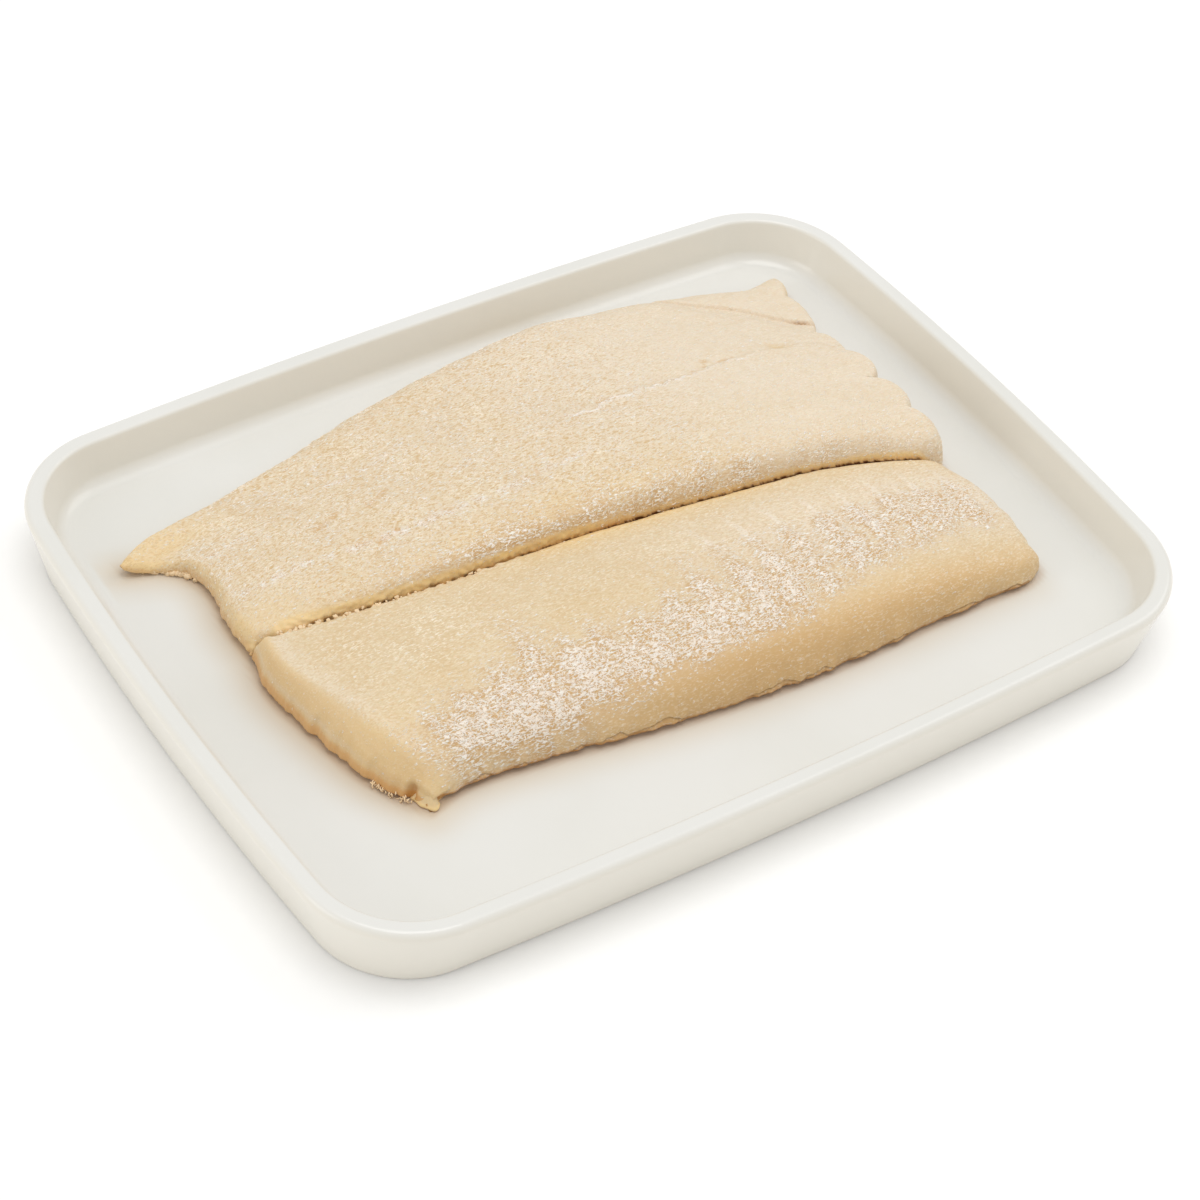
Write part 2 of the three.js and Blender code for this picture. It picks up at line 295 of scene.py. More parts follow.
# The camera looks along (sin turn cos tilt, cos turn cos tilt, -sin tilt), and its roll lifts its right side.
def makeCamera():
    turn, tilt, roll = (math.radians(view[key]) for key in ("turn", "tilt", "roll"))
    ahead = Vector((math.sin(turn) * math.cos(tilt), math.cos(turn) * math.cos(tilt), -math.sin(tilt)))
    right = Vector((math.cos(turn), -math.sin(turn), 0))
    up = right.cross(ahead)
    rolledRight = math.cos(roll) * right + math.sin(roll) * up
    rolledUp = math.cos(roll) * up - math.sin(roll) * right
    data = bpy.data.cameras.new("camera")
    data.lens, data.sensor_width = view["lens"], view["sensor"]
    data.clip_start, data.clip_end = 0.05, 20
    camera = bpy.data.objects.new("camera", data)
    axes = Matrix((rolledRight, rolledUp, -ahead)).transposed()
    camera.matrix_world = Matrix.Translation(view["place"]) @ axes.to_4x4()
    bpy.context.scene.collection.objects.link(camera)
    bpy.context.scene.camera = camera


# A square soft light that faces a point a little over the tray.
def addSoftbox(name, place, power, size):
    data = bpy.data.lights.new(name, "AREA")
    data.energy, data.size = power, size
    lamp = bpy.data.objects.new(name, data)
    lamp.location = place
    lamp.rotation_euler = (Vector((0, 0, 0.01)) - Vector(place)).to_track_quat("-Z", "Y").to_euler()
    bpy.context.scene.collection.objects.link(lamp)


def makeStage():
    for name, (place, power, size) in light["boxes"].items():
        addSoftbox(name, place, power, size)
    world = bpy.data.worlds.new("pale_studio")
    world.use_nodes = True
    sky = world.node_tree.nodes["Background"]
    sky.inputs["Color"].default_value = light["skyTone"]
    sky.inputs["Strength"].default_value = light["sky"]
    bpy.context.scene.world = world
    bpy.context.scene.view_settings.view_transform = "Standard"
    finish, wire, shader = newFinish("white_paper", {"Roughness": 0.9, "Specular IOR Level": 0.0})
    paper = wire.place().noise(0.004, 3).between(tone(*light["paperTone"]), tone(*light["paperCloud"]))
    feed(shader, {"Base Color": paper, "Emission Color": paper})
    shader.inputs["Emission Strength"].default_value = light["paperGlow"]
    mesh = bpy.data.meshes.new("floor")
    reach = light["paperReach"]
    corners = [(x * reach, y * reach, 0) for x, y in ((-1, -1), (1, -1), (1, 1), (-1, 1))]
    mesh.from_pydata(corners, [], [(0, 1, 2, 3)])
    mesh.materials.append(finish)
    floor = bpy.data.objects.new("floor", mesh)
    bpy.context.scene.collection.objects.link(floor)
    print("camera, lights and floor made")


# Tray

tray = {
    "length": (plateHigh.x - plateLow.x) / mm,
    "width": (plateHigh.y - plateLow.y) / mm,
    "height": plateHigh.z / mm,
    "endBow": 1094,  # radius of the gently bowed short sides
    "sideBow": 2314,
    "cornerRadius": 31.6,
    "floorHeight": 10.05,
    "floorInset": 13.1,  # from the outer outline to where the flat floor starts
    "coveRadius": 5,
    "innerDraft": 19,  # degrees
    "rimOuterRound": 2,
    "rimInnerRound": 1.4,
    "baseInset": 4.6,
    "baseRound": 1.2,
    "footInner": 12.6,
    "recessDepth": 3,
    "recessSlope": 2,
    "cornerSteps": 40,
    "sideSteps": 14,
    "recessRings": 24,
    "floorRings": 103,
    "fishShadowReach": 15,  # how far from the fish the painted shadow spreads
    "fishShadowFade": [(-95, 1), (-50, 0.75), (40, 0.5)],  # its strength for each x
    "whiteTone": (229, 228, 223),
    "poolTone": (226, 225, 219),
    "bounceWarmTone": (232, 227, 215),  # painted warm bounce light from the fish on the steep walls
    "fishShadowTone": (214, 196, 168),  # painted warm shadow on the floor beside the fish
    "contactShadowTone": (186, 156, 122),  # painted warm contact shadow right under the fish's rims
    "speckTone": (212, 208, 198),
    "clayTone": (214, 209, 198),  # the bare foot
    "clayShade": (196, 190, 178),
}


# Points on a circle between two angles, in equal steps.
def arc(centre, radius, start, end, steps):
    angle = np.linspace(start, end, steps + 1)
    return np.stack([centre[0] + radius * np.cos(angle), centre[1] + radius * np.sin(angle)], -1)


# Outline set in by inset: a long-radius bow on each side and a corner arc that touches both bows.
def trayOutline(inset):
    endX = tray["length"] / 2 - tray["endBow"]
    sideY = tray["width"] / 2 - tray["sideBow"]
    endReach = tray["endBow"] - tray["cornerRadius"]
    sideReach = tray["sideBow"] - tray["cornerRadius"]
    apart = math.hypot(endX, sideY)
    along = (endReach**2 - sideReach**2 + apart**2) / (2 * apart)
    across = math.sqrt(endReach**2 - along**2)
    toSide = (-endX / apart, sideY / apart)
    centre = (endX + along * toSide[0] - across * toSide[1], along * toSide[1] + across * toSide[0])
    endAngle = math.atan2(centre[1], centre[0] - endX)
    sideAngle = math.atan2(centre[1] - sideY, centre[0])
    quarter = np.concatenate([
        arc((endX, 0), tray["endBow"] - inset, 0, endAngle, tray["sideSteps"])[:-1],
        arc(centre, tray["cornerRadius"] - inset, endAngle, sideAngle, tray["cornerSteps"]),
        arc((0, sideY), tray["sideBow"] - inset, sideAngle, np.pi / 2, tray["sideSteps"])[1:],
    ])
    back, left, front = quarter[::-1] * (-1, 1), quarter * (-1, -1), quarter[::-1] * (1, -1)
    return np.concatenate([quarter, back[1:], left[1:], front[1:-1]])


# Section as inset and height, from the recess underneath, round the foot, up the wall, over the rim and down
# the cove to the floor.
def traySection():
    draft = math.radians(tray["innerDraft"])
    keys = ("coveRadius", "rimOuterRound", "rimInnerRound", "baseRound")
    cove, round1, round2, base = (tray[key] for key in keys)
    top, floor = tray["height"], tray["floorHeight"]
    coveX = tray["floorInset"] - cove * math.cos(draft)
    coveZ = floor + cove * (1 - math.sin(draft))
    lipX = coveX - (top - coveZ) * math.tan(draft)
    lipBack = round2 * math.tan((math.pi / 2 - draft) / 2)
    foot, slope = tray["footInner"], tray["recessSlope"]
    recess = np.linspace([foot + slope, tray["recessDepth"]], [foot + 0.4, 0.35], 6)
    footRound = arc((foot - 0.1, 0.5), 0.5, 0, -np.pi / 2, 6)
    baseArc = arc((tray["baseInset"] + base, base), base, -np.pi / 2, -np.pi, 10)
    wall = np.linspace([tray["baseInset"], base], [0, top - round1], 12)[1:-1]
    rimOuter = arc((round1, top - round1), round1, np.pi, np.pi / 2, 14)
    rimInner = arc((lipX - lipBack, top - round2), round2, np.pi / 2, draft, 10)
    coveArc = arc((tray["floorInset"], floor + cove), cove, np.pi + draft, np.pi * 1.5, 18)
    inner = np.linspace(rimInner[-1], coveArc[0], 9)[1:-1]
    return np.concatenate([recess, footRound, baseArc, wall, rimOuter, rimInner, inner, coveArc])


# Distance in mm in plan from each point to the nearest of the listed edges of the fish.
def shoreDistance(points, edges):
    share = np.linspace(0, 1, 260)
    shore = np.concatenate([curveThrough(fillet[side], share) for fillet, side in edges])
    return np.linalg.norm(points[:, None, :2] - shore[None], axis=2).min(axis=1)


# The section carried round the outline, with the floor and the recess closed by rings that shrink to a point.
def makeTray(finish):
    section = traySection()
    rings = [level(trayOutline(inset), z) for inset, z in section]
    under = [rings[0] * (s, s, 1) for s in np.linspace(0, 1, tray["recessRings"] + 1)[1:-1]]
    floor = [rings[-1] * (s, s, 1) for s in np.linspace(1, 0, tray["floorRings"] + 1)[1:-1]]
    run = np.gradient(section, axis=0)
    slope = np.abs(run[:, 1]) / np.linalg.norm(run, axis=1)
    steep = np.concatenate([np.zeros(len(under)), slope**2, np.zeros(len(floor))])
    rings = under + rings + floor
    count = len(rings[0])
    points, faces = closedShell(rings, (0, 0, rings[0][0, 2]), (0, 0, rings[-1][0, 2]))
    onFloor = np.arange(len(points)) >= len(points) - 2 - len(floor) * count
    onFloor[-2:] = False
    fishShadow, contactShadow = np.zeros((2, len(points)))
    # The floor beside the fish's near and left edges gets a painted warm shadow.
    tinted = [(frontFillet, "near"), (frontFillet, "left"), (backFillet, "left")]
    fishShadow[onFloor] = ease(shoreDistance(points[onFloor], tinted), tray["fishShadowReach"], 0) ** 1.5
    fishShadow[onFloor] *= along(tray["fishShadowFade"], points[onFloor, 0])
    # A painted contact shadow on the floor right round every rim of the fish.
    rims = tinted + [(frontFillet, "right"), (backFillet, "right")]
    contactShadow[onFloor] = ease(shoreDistance(points[onFloor], rims), 2.4, 0.3)
    layers = {
        "bare": ease(points[:, 2], 0.9, 0.3),
        "steep": np.append(np.repeat(steep, count), [0, 0]),
        "fishShadow": fishShadow,
        "contactShadow": contactShadow,
    }
    piece = addPiece("tray", points, faces, finish, layers)
    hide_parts("plate")
    print("tray made")


# White glaze: warmer on the steep walls as painted warm bounce light, faint specks, a painted warm shadow
# beside the fish and a painted contact shadow under its rims, and bare clay on the foot's ring.
def glazeFinish():
    finish, wire, shader = newFinish("white_glaze", {"IOR": 1.5, "Coat Roughness": 0.08, "Coat IOR": 1.5})
    place = wire.place()
    bare, steep, fishShadow, contactShadow = wire.layers("bare", "steep", "fishShadow", "contactShadow")
    cloud = place.noise(0.045, 3)
    specks = place.noise(0.0011, 2).eased(0.74, 0.8)
    glaze = cloud.eased(0.35, 0.7).between(tone(*tray["whiteTone"]), tone(*tray["poolTone"]))
    # Coats: painted warm bounce light on the steep walls, a painted shadow by the fish, a painted contact
    # shadow, specks.
    coats = [
        (steep, "bounceWarmTone"), (fishShadow * 0.6, "fishShadowTone"), (contactShadow * 0.45, "contactShadowTone"),
        (specks * 0.2, "speckTone"),
    ]
    for share, key in coats:
        glaze = share.between(glaze, tone(*tray[key]))
    clay = place.noise(0.0008, 4).between(tone(*tray["clayTone"]), tone(*tray["clayShade"]))
    waves = place.noise(0.012, 2) + place.noise(0.003, 2) * 0.15
    feed(shader, {
        "Base Color": bare.between(glaze, clay),
        "Roughness": bare * 0.55 + 0.27 + cloud * 0.06,
        "Coat Weight": (1 - bare) * 0.35,
        "Normal": wire.node("ShaderNodeBump", {}, {"Height": waves, "Strength": 0.25, "Distance": 0.0004}),
    })
    return finish


# Fish

fish = {
    "rest": tray["floorHeight"] + 0.04,  # height of the underside
    "lengthSteps": 470,
    "widthSteps": 186,
    "undercut": 2.8,  # how far the underside lies inside the outline
    "cragReach": 3,  # how far inwards an edge's crags are felt
    "notchReach": 14,
    # rings under the outline, as shares of the undercut and of the edge's height
    "underRings": ((0.05, 0.78), (0.22, 0.48), (0.55, 0.18), (1.0, 0.0)),
    "cragWaves": ((7, 0.55, 0.4), (17, 0.35, 2.1)),  # count, size and turn of the crags along an edge
}

frontFillet = {
    "name": "front_fillet",
    "node": "fillet_front",
    "seed": 100,
    # the four edges in plan, in mm, and the crags, fray and notches along them
    "near": [(-90.5, -58), (-77, -55), (-53.5, -57.5), (-25, -62), (5, -65.5), (37.5, -67), (76.5, -66),
             (101, -66.5)],
    "far": [(-104, 11.5), (-96, 8.4), (-80.5, 6.6), (-50, 4), (-20, 2.9), (12, 0.4), (44, -3.2), (69, -6.9),
            (88, -12.6), (104.5, -20.5)],
    "left": [(-90.5, -58), (-99.5, -40.5), (-104.5, -16), (-106.5, -1), (-104, 11.5)],
    "right": [(101, -66.5), (107.4, -63.5), (108.8, -53.5), (109.8, -43.5), (108.7, -32.5), (104.5, -20.5)],
    "notches": {"right": [(0.1, 1, 0.03), (0.24, 0.8, 0.03), (0.53, 0.6, 0.04)]},
    "crag": {"near": 0.4, "far": 0, "left": 0.5, "right": 0.3},
    "fray": {"near": 0.35, "far": 0.1, "left": 0.4, "right": 0.2},
    "meanWidth": 75,
    "endHeight": 11,
    "crestRise": 7,
    "seamHeight": 10.6,
    "edgeHeight": 1.8,
    "seamEdgeHeight": 8.4,
    "ribCount": 19,
    "ribStart": 0.171,
    "ribLean": 0.03,
    "ribDepth": 0.3,
    # thin flaps under the skin's lower edge: where each starts and stops along the fillet, and its height
    "flaps": [(0.07, 0.105, 1.6), (0.14, 0.16, 1.0), (0.225, 0.245, 1.3), (0.265, 0.31, 2.2),
              (0.32, 0.395, 2.2), (0.5, 0.58, 2.0), (0.585, 0.64, 1.5), (0.67, 0.705, 1.2),
              (0.735, 0.775, 1.2), (0.84, 0.905, 1.6), (0.955, 0.985, 1.0)],
    # the frost's band: place along the fillet, and its lower and upper limit across it
    "frostBand": [(0.04, 0, 0.25), (0.1, 0.01, 0.3), (0.15, 0.02, 0.34), (0.2, 0.03, 0.39),
                  (0.25, 0.05, 0.43), (0.3, 0.1, 0.43), (0.4, 0.15, 0.43), (0.5, 0.17, 0.46),
                  (0.6, 0.2, 0.49), (0.7, 0.26, 0.56), (0.8, 0.32, 0.63), (0.9, 0.38, 0.69),
                  (1, 0.42, 0.71)],
    # strengths along the fillet
    "frost": [(0.02, 0), (0.06, 0.6), (0.1, 1), (0.26, 1), (0.33, 0.9), (0.6, 0.9), (0.68, 0.75), (0.95, 0.7),
              (0.99, 0)],
    "seamGold": [(0.22, 0), (0.35, 0.4), (0.45, 1), (0.55, 0.85), (0.7, 0.55), (0.9, 0.3), (1, 0.3)],
    "flankGold": [(0, 0.1), (0.1, 0.3), (0.3, 0.7), (0.5, 1), (0.85, 0.9), (1, 0.5)],
    "seamHoneyLight": [(0.35, 0), (0.45, 0.6), (0.7, 0.6), (0.78, 0.1)],
}

backFillet = {
    "name": "back_fillet",
    "node": "fillet_back",
    "seed": 200,
    "near": [(-104, 12.3), (-95.8, 9.2), (-80.3, 7.4), (-49.9, 4.8), (-19.9, 3.7), (12.1, 1.2), (44.2, -2.4),
             (69.3, -6.1), (88.4, -11.8), (105, -19.6)],
    "far": [(-119, 58), (-111, 62.8), (-90.5, 67.2), (-72, 70.4), (-57, 73.6), (-33, 80.2), (-14, 84),
            (5, 86.8), (24, 89.6), (36, 90.2), (52, 87.4), (70, 84.9), (90, 80.2), (104, 76.3),
            (115.5, 77.6)],
    "left": [(-104, 12.3), (-104, 26), (-102, 38.5), (-105, 49.5), (-119, 58)],
    "right": [(105, -19.6), (108.5, -16.5), (111.5, -9.5), (111.8, 0), (111.2, 11), (110.6, 27), (110.2, 40),
              (113.2, 57), (115.4, 71), (115.5, 77.6)],
    "notches": {"right": [(0.19, 5, 0.036), (0.345, 7, 0.036), (0.51, 3.2, 0.04), (0.66, 3.4, 0.04),
                          (0.89, 2.8, 0.03)]},
    "crag": {"near": 0, "far": 0.3, "left": 0.4, "right": 0},
    "fray": {"near": 0.2, "far": 0.3, "left": 0.45, "right": 0.2},
    "endHeight": 11.5,
    "crestRise": 7,
    "edgeHeight": 2.4,
    "seamEdgeHeight": 8.9,
    # along the left end: heights of the outline and of the lip over it, and how far in the flesh still rises
    "leftEdge": [(0, 2.4), (0.5, 2.2), (0.66, 1.3), (0.85, 0.9), (0.95, 1.8), (1, 3)],
    "leftLip": [(0, 8), (0.12, 6.4), (0.5, 5.6), (0.66, 5.4), (0.76, 3.4), (0.87, 2.2), (0.94, 3.4),
                (1, 4.4)],
    "leftRise": 26,
    "farLift": [(0, 2), (0.25, 1.3), (0.5, 0.7), (0.65, 0.2), (1, 0)],  # extra height of the far edge
    "creaseDrop": 0.5,
    "flapDip": 1.5,  # how low the skin lies just in front of the fold
    "flapLift": 0.9,  # how far the loose corner stands over that
    # lines across the skin, as u and v
    "fold": [(0.7, 1.3), (0.83, 0.965), (0.858, 0.909), (0.89, 0.878), (0.919, 0.835), (0.94, 0.793),
             (0.957, 0.757), (1, 0.7)],
    "crease": [(0, 0.4), (0.5, 0.43), (0.591, 0.444), (0.692, 0.458), (0.741, 0.482), (0.8, 0.5),
               (0.844, 0.527), (0.898, 0.547), (0.932, 0.57), (0.972, 0.532), (1, 0.52)],
    "saltLine": [(0.02, 0.297), (0.087, 0.272), (0.159, 0.246), (0.232, 0.241), (0.318, 0.236),
                 (0.386, 0.227), (0.448, 0.248), (0.6, 0.27)],
    "upperLine": [(0.02, 0.62), (0.09, 0.6), (0.2, 0.66), (0.29, 0.645), (0.42, 0.7)],
    # pits as u, v, length and width in mm, and turn in degrees
    "pits": [(0.156, 0.435, 3.2, 1.3, 20), (0.178, 0.46, 2.4, 1.0, 35), (0.232, 0.445, 2.6, 1.1, 25),
             (0.258, 0.475, 2.2, 1.0, 30), (0.188, 0.255, 3.0, 0.9, -5), (0.215, 0.236, 2.6, 0.9, 5),
             (0.448, 0.252, 1.1, 0.8, 60), (0.8, 0.515, 2.0, 0.8, 0), (0.778, 0.53, 1.6, 0.8, 40),
             (0.6, 0.462, 1.8, 0.9, 20)],
    # strengths along the crease, along the two salt lines, and along the fillet
    "creaseOpen": [(0.5, 0), (0.57, 0.9), (0.66, 0.5), (0.69, 0.9), (0.76, 1), (0.82, 0.5), (0.87, 0.4),
                   (0.9, 0.75), (0.98, 0.8)],
    "brim": [(0.33, 0), (0.38, 0.5), (0.42, 0.1), (0.46, 0.4), (0.53, 0), (0.55, 1), (0.64, 1), (0.655, 0.2),
             (0.67, 1), (0.72, 0.9), (0.74, 0.3), (0.8, 0.4), (0.82, 0.6), (0.86, 0)],
    "saltWhite": [(0.02, 0.3), (0.05, 1), (0.36, 0.9), (0.5, 0.6), (0.6, 0)],
    "upperWhite": [(0.02, 0.8), (0.1, 0.6), (0.14, 0.2), (0.2, 1), (0.42, 0.3)],
    "lineHoles": [(0.15, 0), (0.18, 1), (0.27, 1), (0.34, 0)],
    "seamSalt": [(0.15, 0), (0.32, 1), (0.7, 1), (0.85, 0.2)],
    # painted shade in the seam's crevice, a painted orange glow in its shade, and honey-gold painted light on
    # its wall
    "creviceShade": [(0, 0.2), (0.37, 0.3), (0.43, 1), (0.95, 1), (1, 0.6)],
    "glow": [(0, 0.1), (0.1, 0.25), (0.38, 0.4), (0.52, 0.5), (1, 0.45)],
    "wallHoneyLight": [(0, 0.2), (0.12, 0.5), (0.3, 0.8)],
    "nearGold": [(0, 0.1), (0.12, 0.15), (0.25, 0.5), (0.45, 0.8), (0.6, 0.5), (0.75, 0.2), (1, 0.15)],
}


# How far an edge strays outwards at a share of its length: slow crags and a finer fray, none at its corners,
# less the notches between its lobes. Both fade with the distance inside the edge.
def strayAt(fillet, side, share, inside):
    fade = held(np.sin(np.pi * share)) ** 0.5
    crag = sum(size * np.sin(2 * np.pi * count * share + turn) for count, size, turn in fish["cragWaves"])
    travelled = share * math.dist(fillet[side][0], fillet[side][-1])
    seed = fillet["seed"] + {"near": 30, "far": 32, "left": 34, "right": 36}[side]
    fray = wander(travelled, 0.5, 2.3, seed) + 0.6 * wander(travelled, 0.5, 1.0, seed + 1)
    listed = fillet["notches"].get(side, [])
    notches = sum((depth * np.exp(-np.abs(share - place) / width) for place, depth, width in listed), 0)
    fine = fade * (fillet["crag"][side] * crag + fillet["fray"][side] * fray)
    return fine * ease(inside, fish["cragReach"], 0) - notches * ease(inside, fish["notchReach"], 0)


# Place in plan of any u, v in 0..1: the four edges blended as a transfinite patch, with the crags of each
# edge kept close to it.
def planAt(fillet, u, v):
    u, v = np.broadcast_arrays(np.asarray(u, float), np.asarray(v, float))
    near, far = (curveThrough(fillet[side], u) for side in ("near", "far"))
    left, right = (curveThrough(fillet[side], v) for side in ("left", "right"))
    a, b = u[..., None], v[..., None]
    nearLeft, nearRight, farLeft, farRight = (
        np.array(fillet[side][end]) for side, end in (("near", 0), ("near", -1), ("far", 0), ("far", -1))
    )
    nearCorners = (1 - a) * (1 - b) * nearLeft + a * (1 - b) * nearRight
    corners = nearCorners + (1 - a) * b * farLeft + a * b * farRight
    place = (1 - b) * near + b * far + (1 - a) * left + a * right - corners
    length, width = lengthOf(fillet), widthAt(fillet, u)
    alongX = strayAt(fillet, "right", v, (1 - u) * length) - strayAt(fillet, "left", v, u * length)
    alongY = strayAt(fillet, "far", u, (1 - v) * width) - strayAt(fillet, "near", u, v * width)
    return place + np.stack([alongX, alongY], -1)


def lengthOf(fillet):
    return math.dist(fillet["near"][0], fillet["near"][-1])


def widthAt(fillet, u):
    return np.linalg.norm(curveThrough(fillet["far"], u) - curveThrough(fillet["near"], u), axis=-1)


# 1 along a fillet and 0 at its two ends.
def inner(u):
    return ease(u, 0, 0.05) * ease(u, 1, 0.96)


# Turn of the ribs' wave: they cross the front fillet at a slight lean.
def ribTurn(u, v):
    f = frontFillet
    return 2 * np.pi * f["ribCount"] * (u - f["ribStart"] - f["ribLean"] * (v - 0.3))


# Front form: a crowned loin, thinner to the seam, with rounded ribs across it.
def frontForm(u, v):
    f = frontFillet
    crest = f["endHeight"] + f["crestRise"] * np.sin(np.pi * (0.12 + 0.8 * u)) - 2 * ease(u, 0.75, 1)
    seam = f["seamHeight"] + 0.9 * np.sin(np.pi * u)
    across = np.where(v < 0.31, 1, np.sin(np.pi * (0.28 + 0.72 * v)))
    ribs = np.cos(ribTurn(u, v))
    seamEdge = f["seamEdgeHeight"] + 1.1 * ease(u, 0.55, 0.3)
    return {
        "height": seam + (crest - seam) * across - f["ribDepth"] * ribs * bell(v, 0.35, 0.3),
        "edge": f["edgeHeight"] + (seamEdge - f["edgeHeight"]) * ease(v, 0.85, 1) * inner(u),
        "left": (11.5 - 8 * v, 1.9),
        "right": (7, 2.2),
        "near": (34 - 10 * ease(u, 0.15, 0), 2.3),
        "far": (1.4 + ease(u, 0.3, 0.55), 2),
    }


# Where the diagonal fold that frees the back corner runs, as v for each u.
def foldAt(u):
    return along(backFillet["fold"], u)


# Where the long crease between the loin's two muscle blocks runs, as v for each u.
def creaseAt(u):
    return along(backFillet["crease"], u)


# Back form: thick at the seam, thin to the belly, lower beyond the crease and on the loose corner.
def backForm(u, v):
    f = backFillet
    crest = f["endHeight"] + f["crestRise"] * np.sin(np.pi * (0.05 + 0.7 * u))
    across = 0.93 + 0.07 * np.sin(np.pi * np.minimum(2 * v, 1)) - 0.34 * ease(v, 0.3, 1)
    thin = ease(v, 0.45, 1) * (0.55 * bell(u, 0, 0.22) + 0.3 * bell(u, 1, 0.2))
    drop = ease(v, creaseAt(u) - 0.008, creaseAt(u) + 0.02) * ease(u, 0.3, 0.8)
    loose = ease(u, 0.72, 0.86)
    dip = f["flapDip"] * ease(v, foldAt(u) - 0.1, foldAt(u))
    dip = dip - f["flapLift"] * ease(v, foldAt(u) - 0.004, foldAt(u) + 0.006)
    swell = 0.35 * np.sin(11 * u + 2 * v) * np.sin(7 * v + 1)
    full = crest * across * (1 - thin) - f["creaseDrop"] * drop - loose * dip + swell
    lip, leftEdge = along(f["leftLip"], v), along(f["leftEdge"], v)
    lift = along(f["farLift"], u) * ease(v, 0.75, 1)
    edge = f["edgeHeight"] + (f["seamEdgeHeight"] - f["edgeHeight"]) * ease(v, 0.14, 0) * inner(u) + lift
    return {
        "height": lip + (np.maximum(full, edge + 1) - lip) * shoulder(u * lengthOf(f), f["leftRise"], 1.6),
        "edge": edge + (leftEdge - edge) * ease(u, 0.04, 0),
        "left": (2.4, 2.1),
        "right": (3 + 3 * ease(v, 0.4, 0.05), 2.2),
        "near": (3.6 + 2.6 * ease(u, 0.42, 0.62), 2.2),
        "far": (4 + 7 * ease(u, 0.1, 0.5), 2.2),
    }


# Smooth upper side: the form's height, brought down to the edge height by the product of four shoulders.
def smoothTop(fillet, form, u, v):
    u, v = np.broadcast_arrays(u, v)
    shape = form(u, v)
    length, width = lengthOf(fillet), widthAt(fillet, u)
    body = (
        shoulder(u * length, *shape["left"]) * shoulder((1 - u) * length, *shape["right"])
        * shoulder(v * width, *shape["near"]) * shoulder((1 - v) * width, *shape["far"])
    )
    height = tray["floorHeight"] + shape["edge"] + (shape["height"] - shape["edge"]) * body
    return np.concatenate([planAt(fillet, u, v), height[..., None]], -1)


# Parameter values that cut the middle profile along u or v into pieces of equal length.
def evenSteps(fillet, form, alongU, count):
    fine = 0.5 - 0.5 * np.cos(np.linspace(0, np.pi, 3001))
    profile = smoothTop(fillet, form, fine, 0.4) if alongU else smoothTop(fillet, form, 0.5, fine)
    travelled = np.append(0, np.cumsum(np.linalg.norm(np.diff(profile, axis=0), axis=1)))
    return np.interp(np.linspace(0, travelled[-1], count + 1), travelled, fine)


# Distance in mm from each point to a path on the skin, positive beyond it, and the path's own share there.
def pathDistance(fillet, s, t, path):
    u, v = np.array(path, float).T
    knots = np.stack([u * lengthOf(fillet), v * widthAt(fillet, u)], -1)
    best, side, share = np.full(s.shape, 1e9), np.zeros(s.shape), np.zeros(s.shape)
    for k in range(len(knots) - 1):
        (x0, y0), (x1, y1) = knots[k], knots[k + 1]
        long = math.hypot(x1 - x0, y1 - y0)
        w = np.clip(((s - x0) * (x1 - x0) + (t - y0) * (y1 - y0)) / long**2, 0, 1)
        away = np.hypot(s - x0 - w * (x1 - x0), t - y0 - w * (y1 - y0))
        cross = (x1 - x0) * (t - y0) - (y1 - y0) * (s - x0)
        closer = away < best
        best, side = np.where(closer, away, best), np.where(closer, np.sign(cross), side)
        share = np.where(closer, u[k] + w * (u[k + 1] - u[k]), share)
    return best * side, share


# Short strokes of salt as ridges between two layers of drawn-out noise that lie across each other.
def strokeLace(s, t, seed):
    first = np.abs(strokes(s, t, 1.0, 2.6, 1.35, seed))
    second = np.abs(strokes(s, t, 1.0, 2.4, 2.5, seed + 1))
    return 1 - 1.6 * np.minimum(first, second) - 0.5 * np.maximum(first, second)


# Two kinds of noise over a fillet: in patches, and along its length alone.
def unevenness(s, t, seed):
    def patchy(size, turn):
        return wander(s, t, size, seed + turn)

    def lengthwise(size, turn):
        return wander(s, 0.5, size, seed + turn)

    return patchy, lengthwise


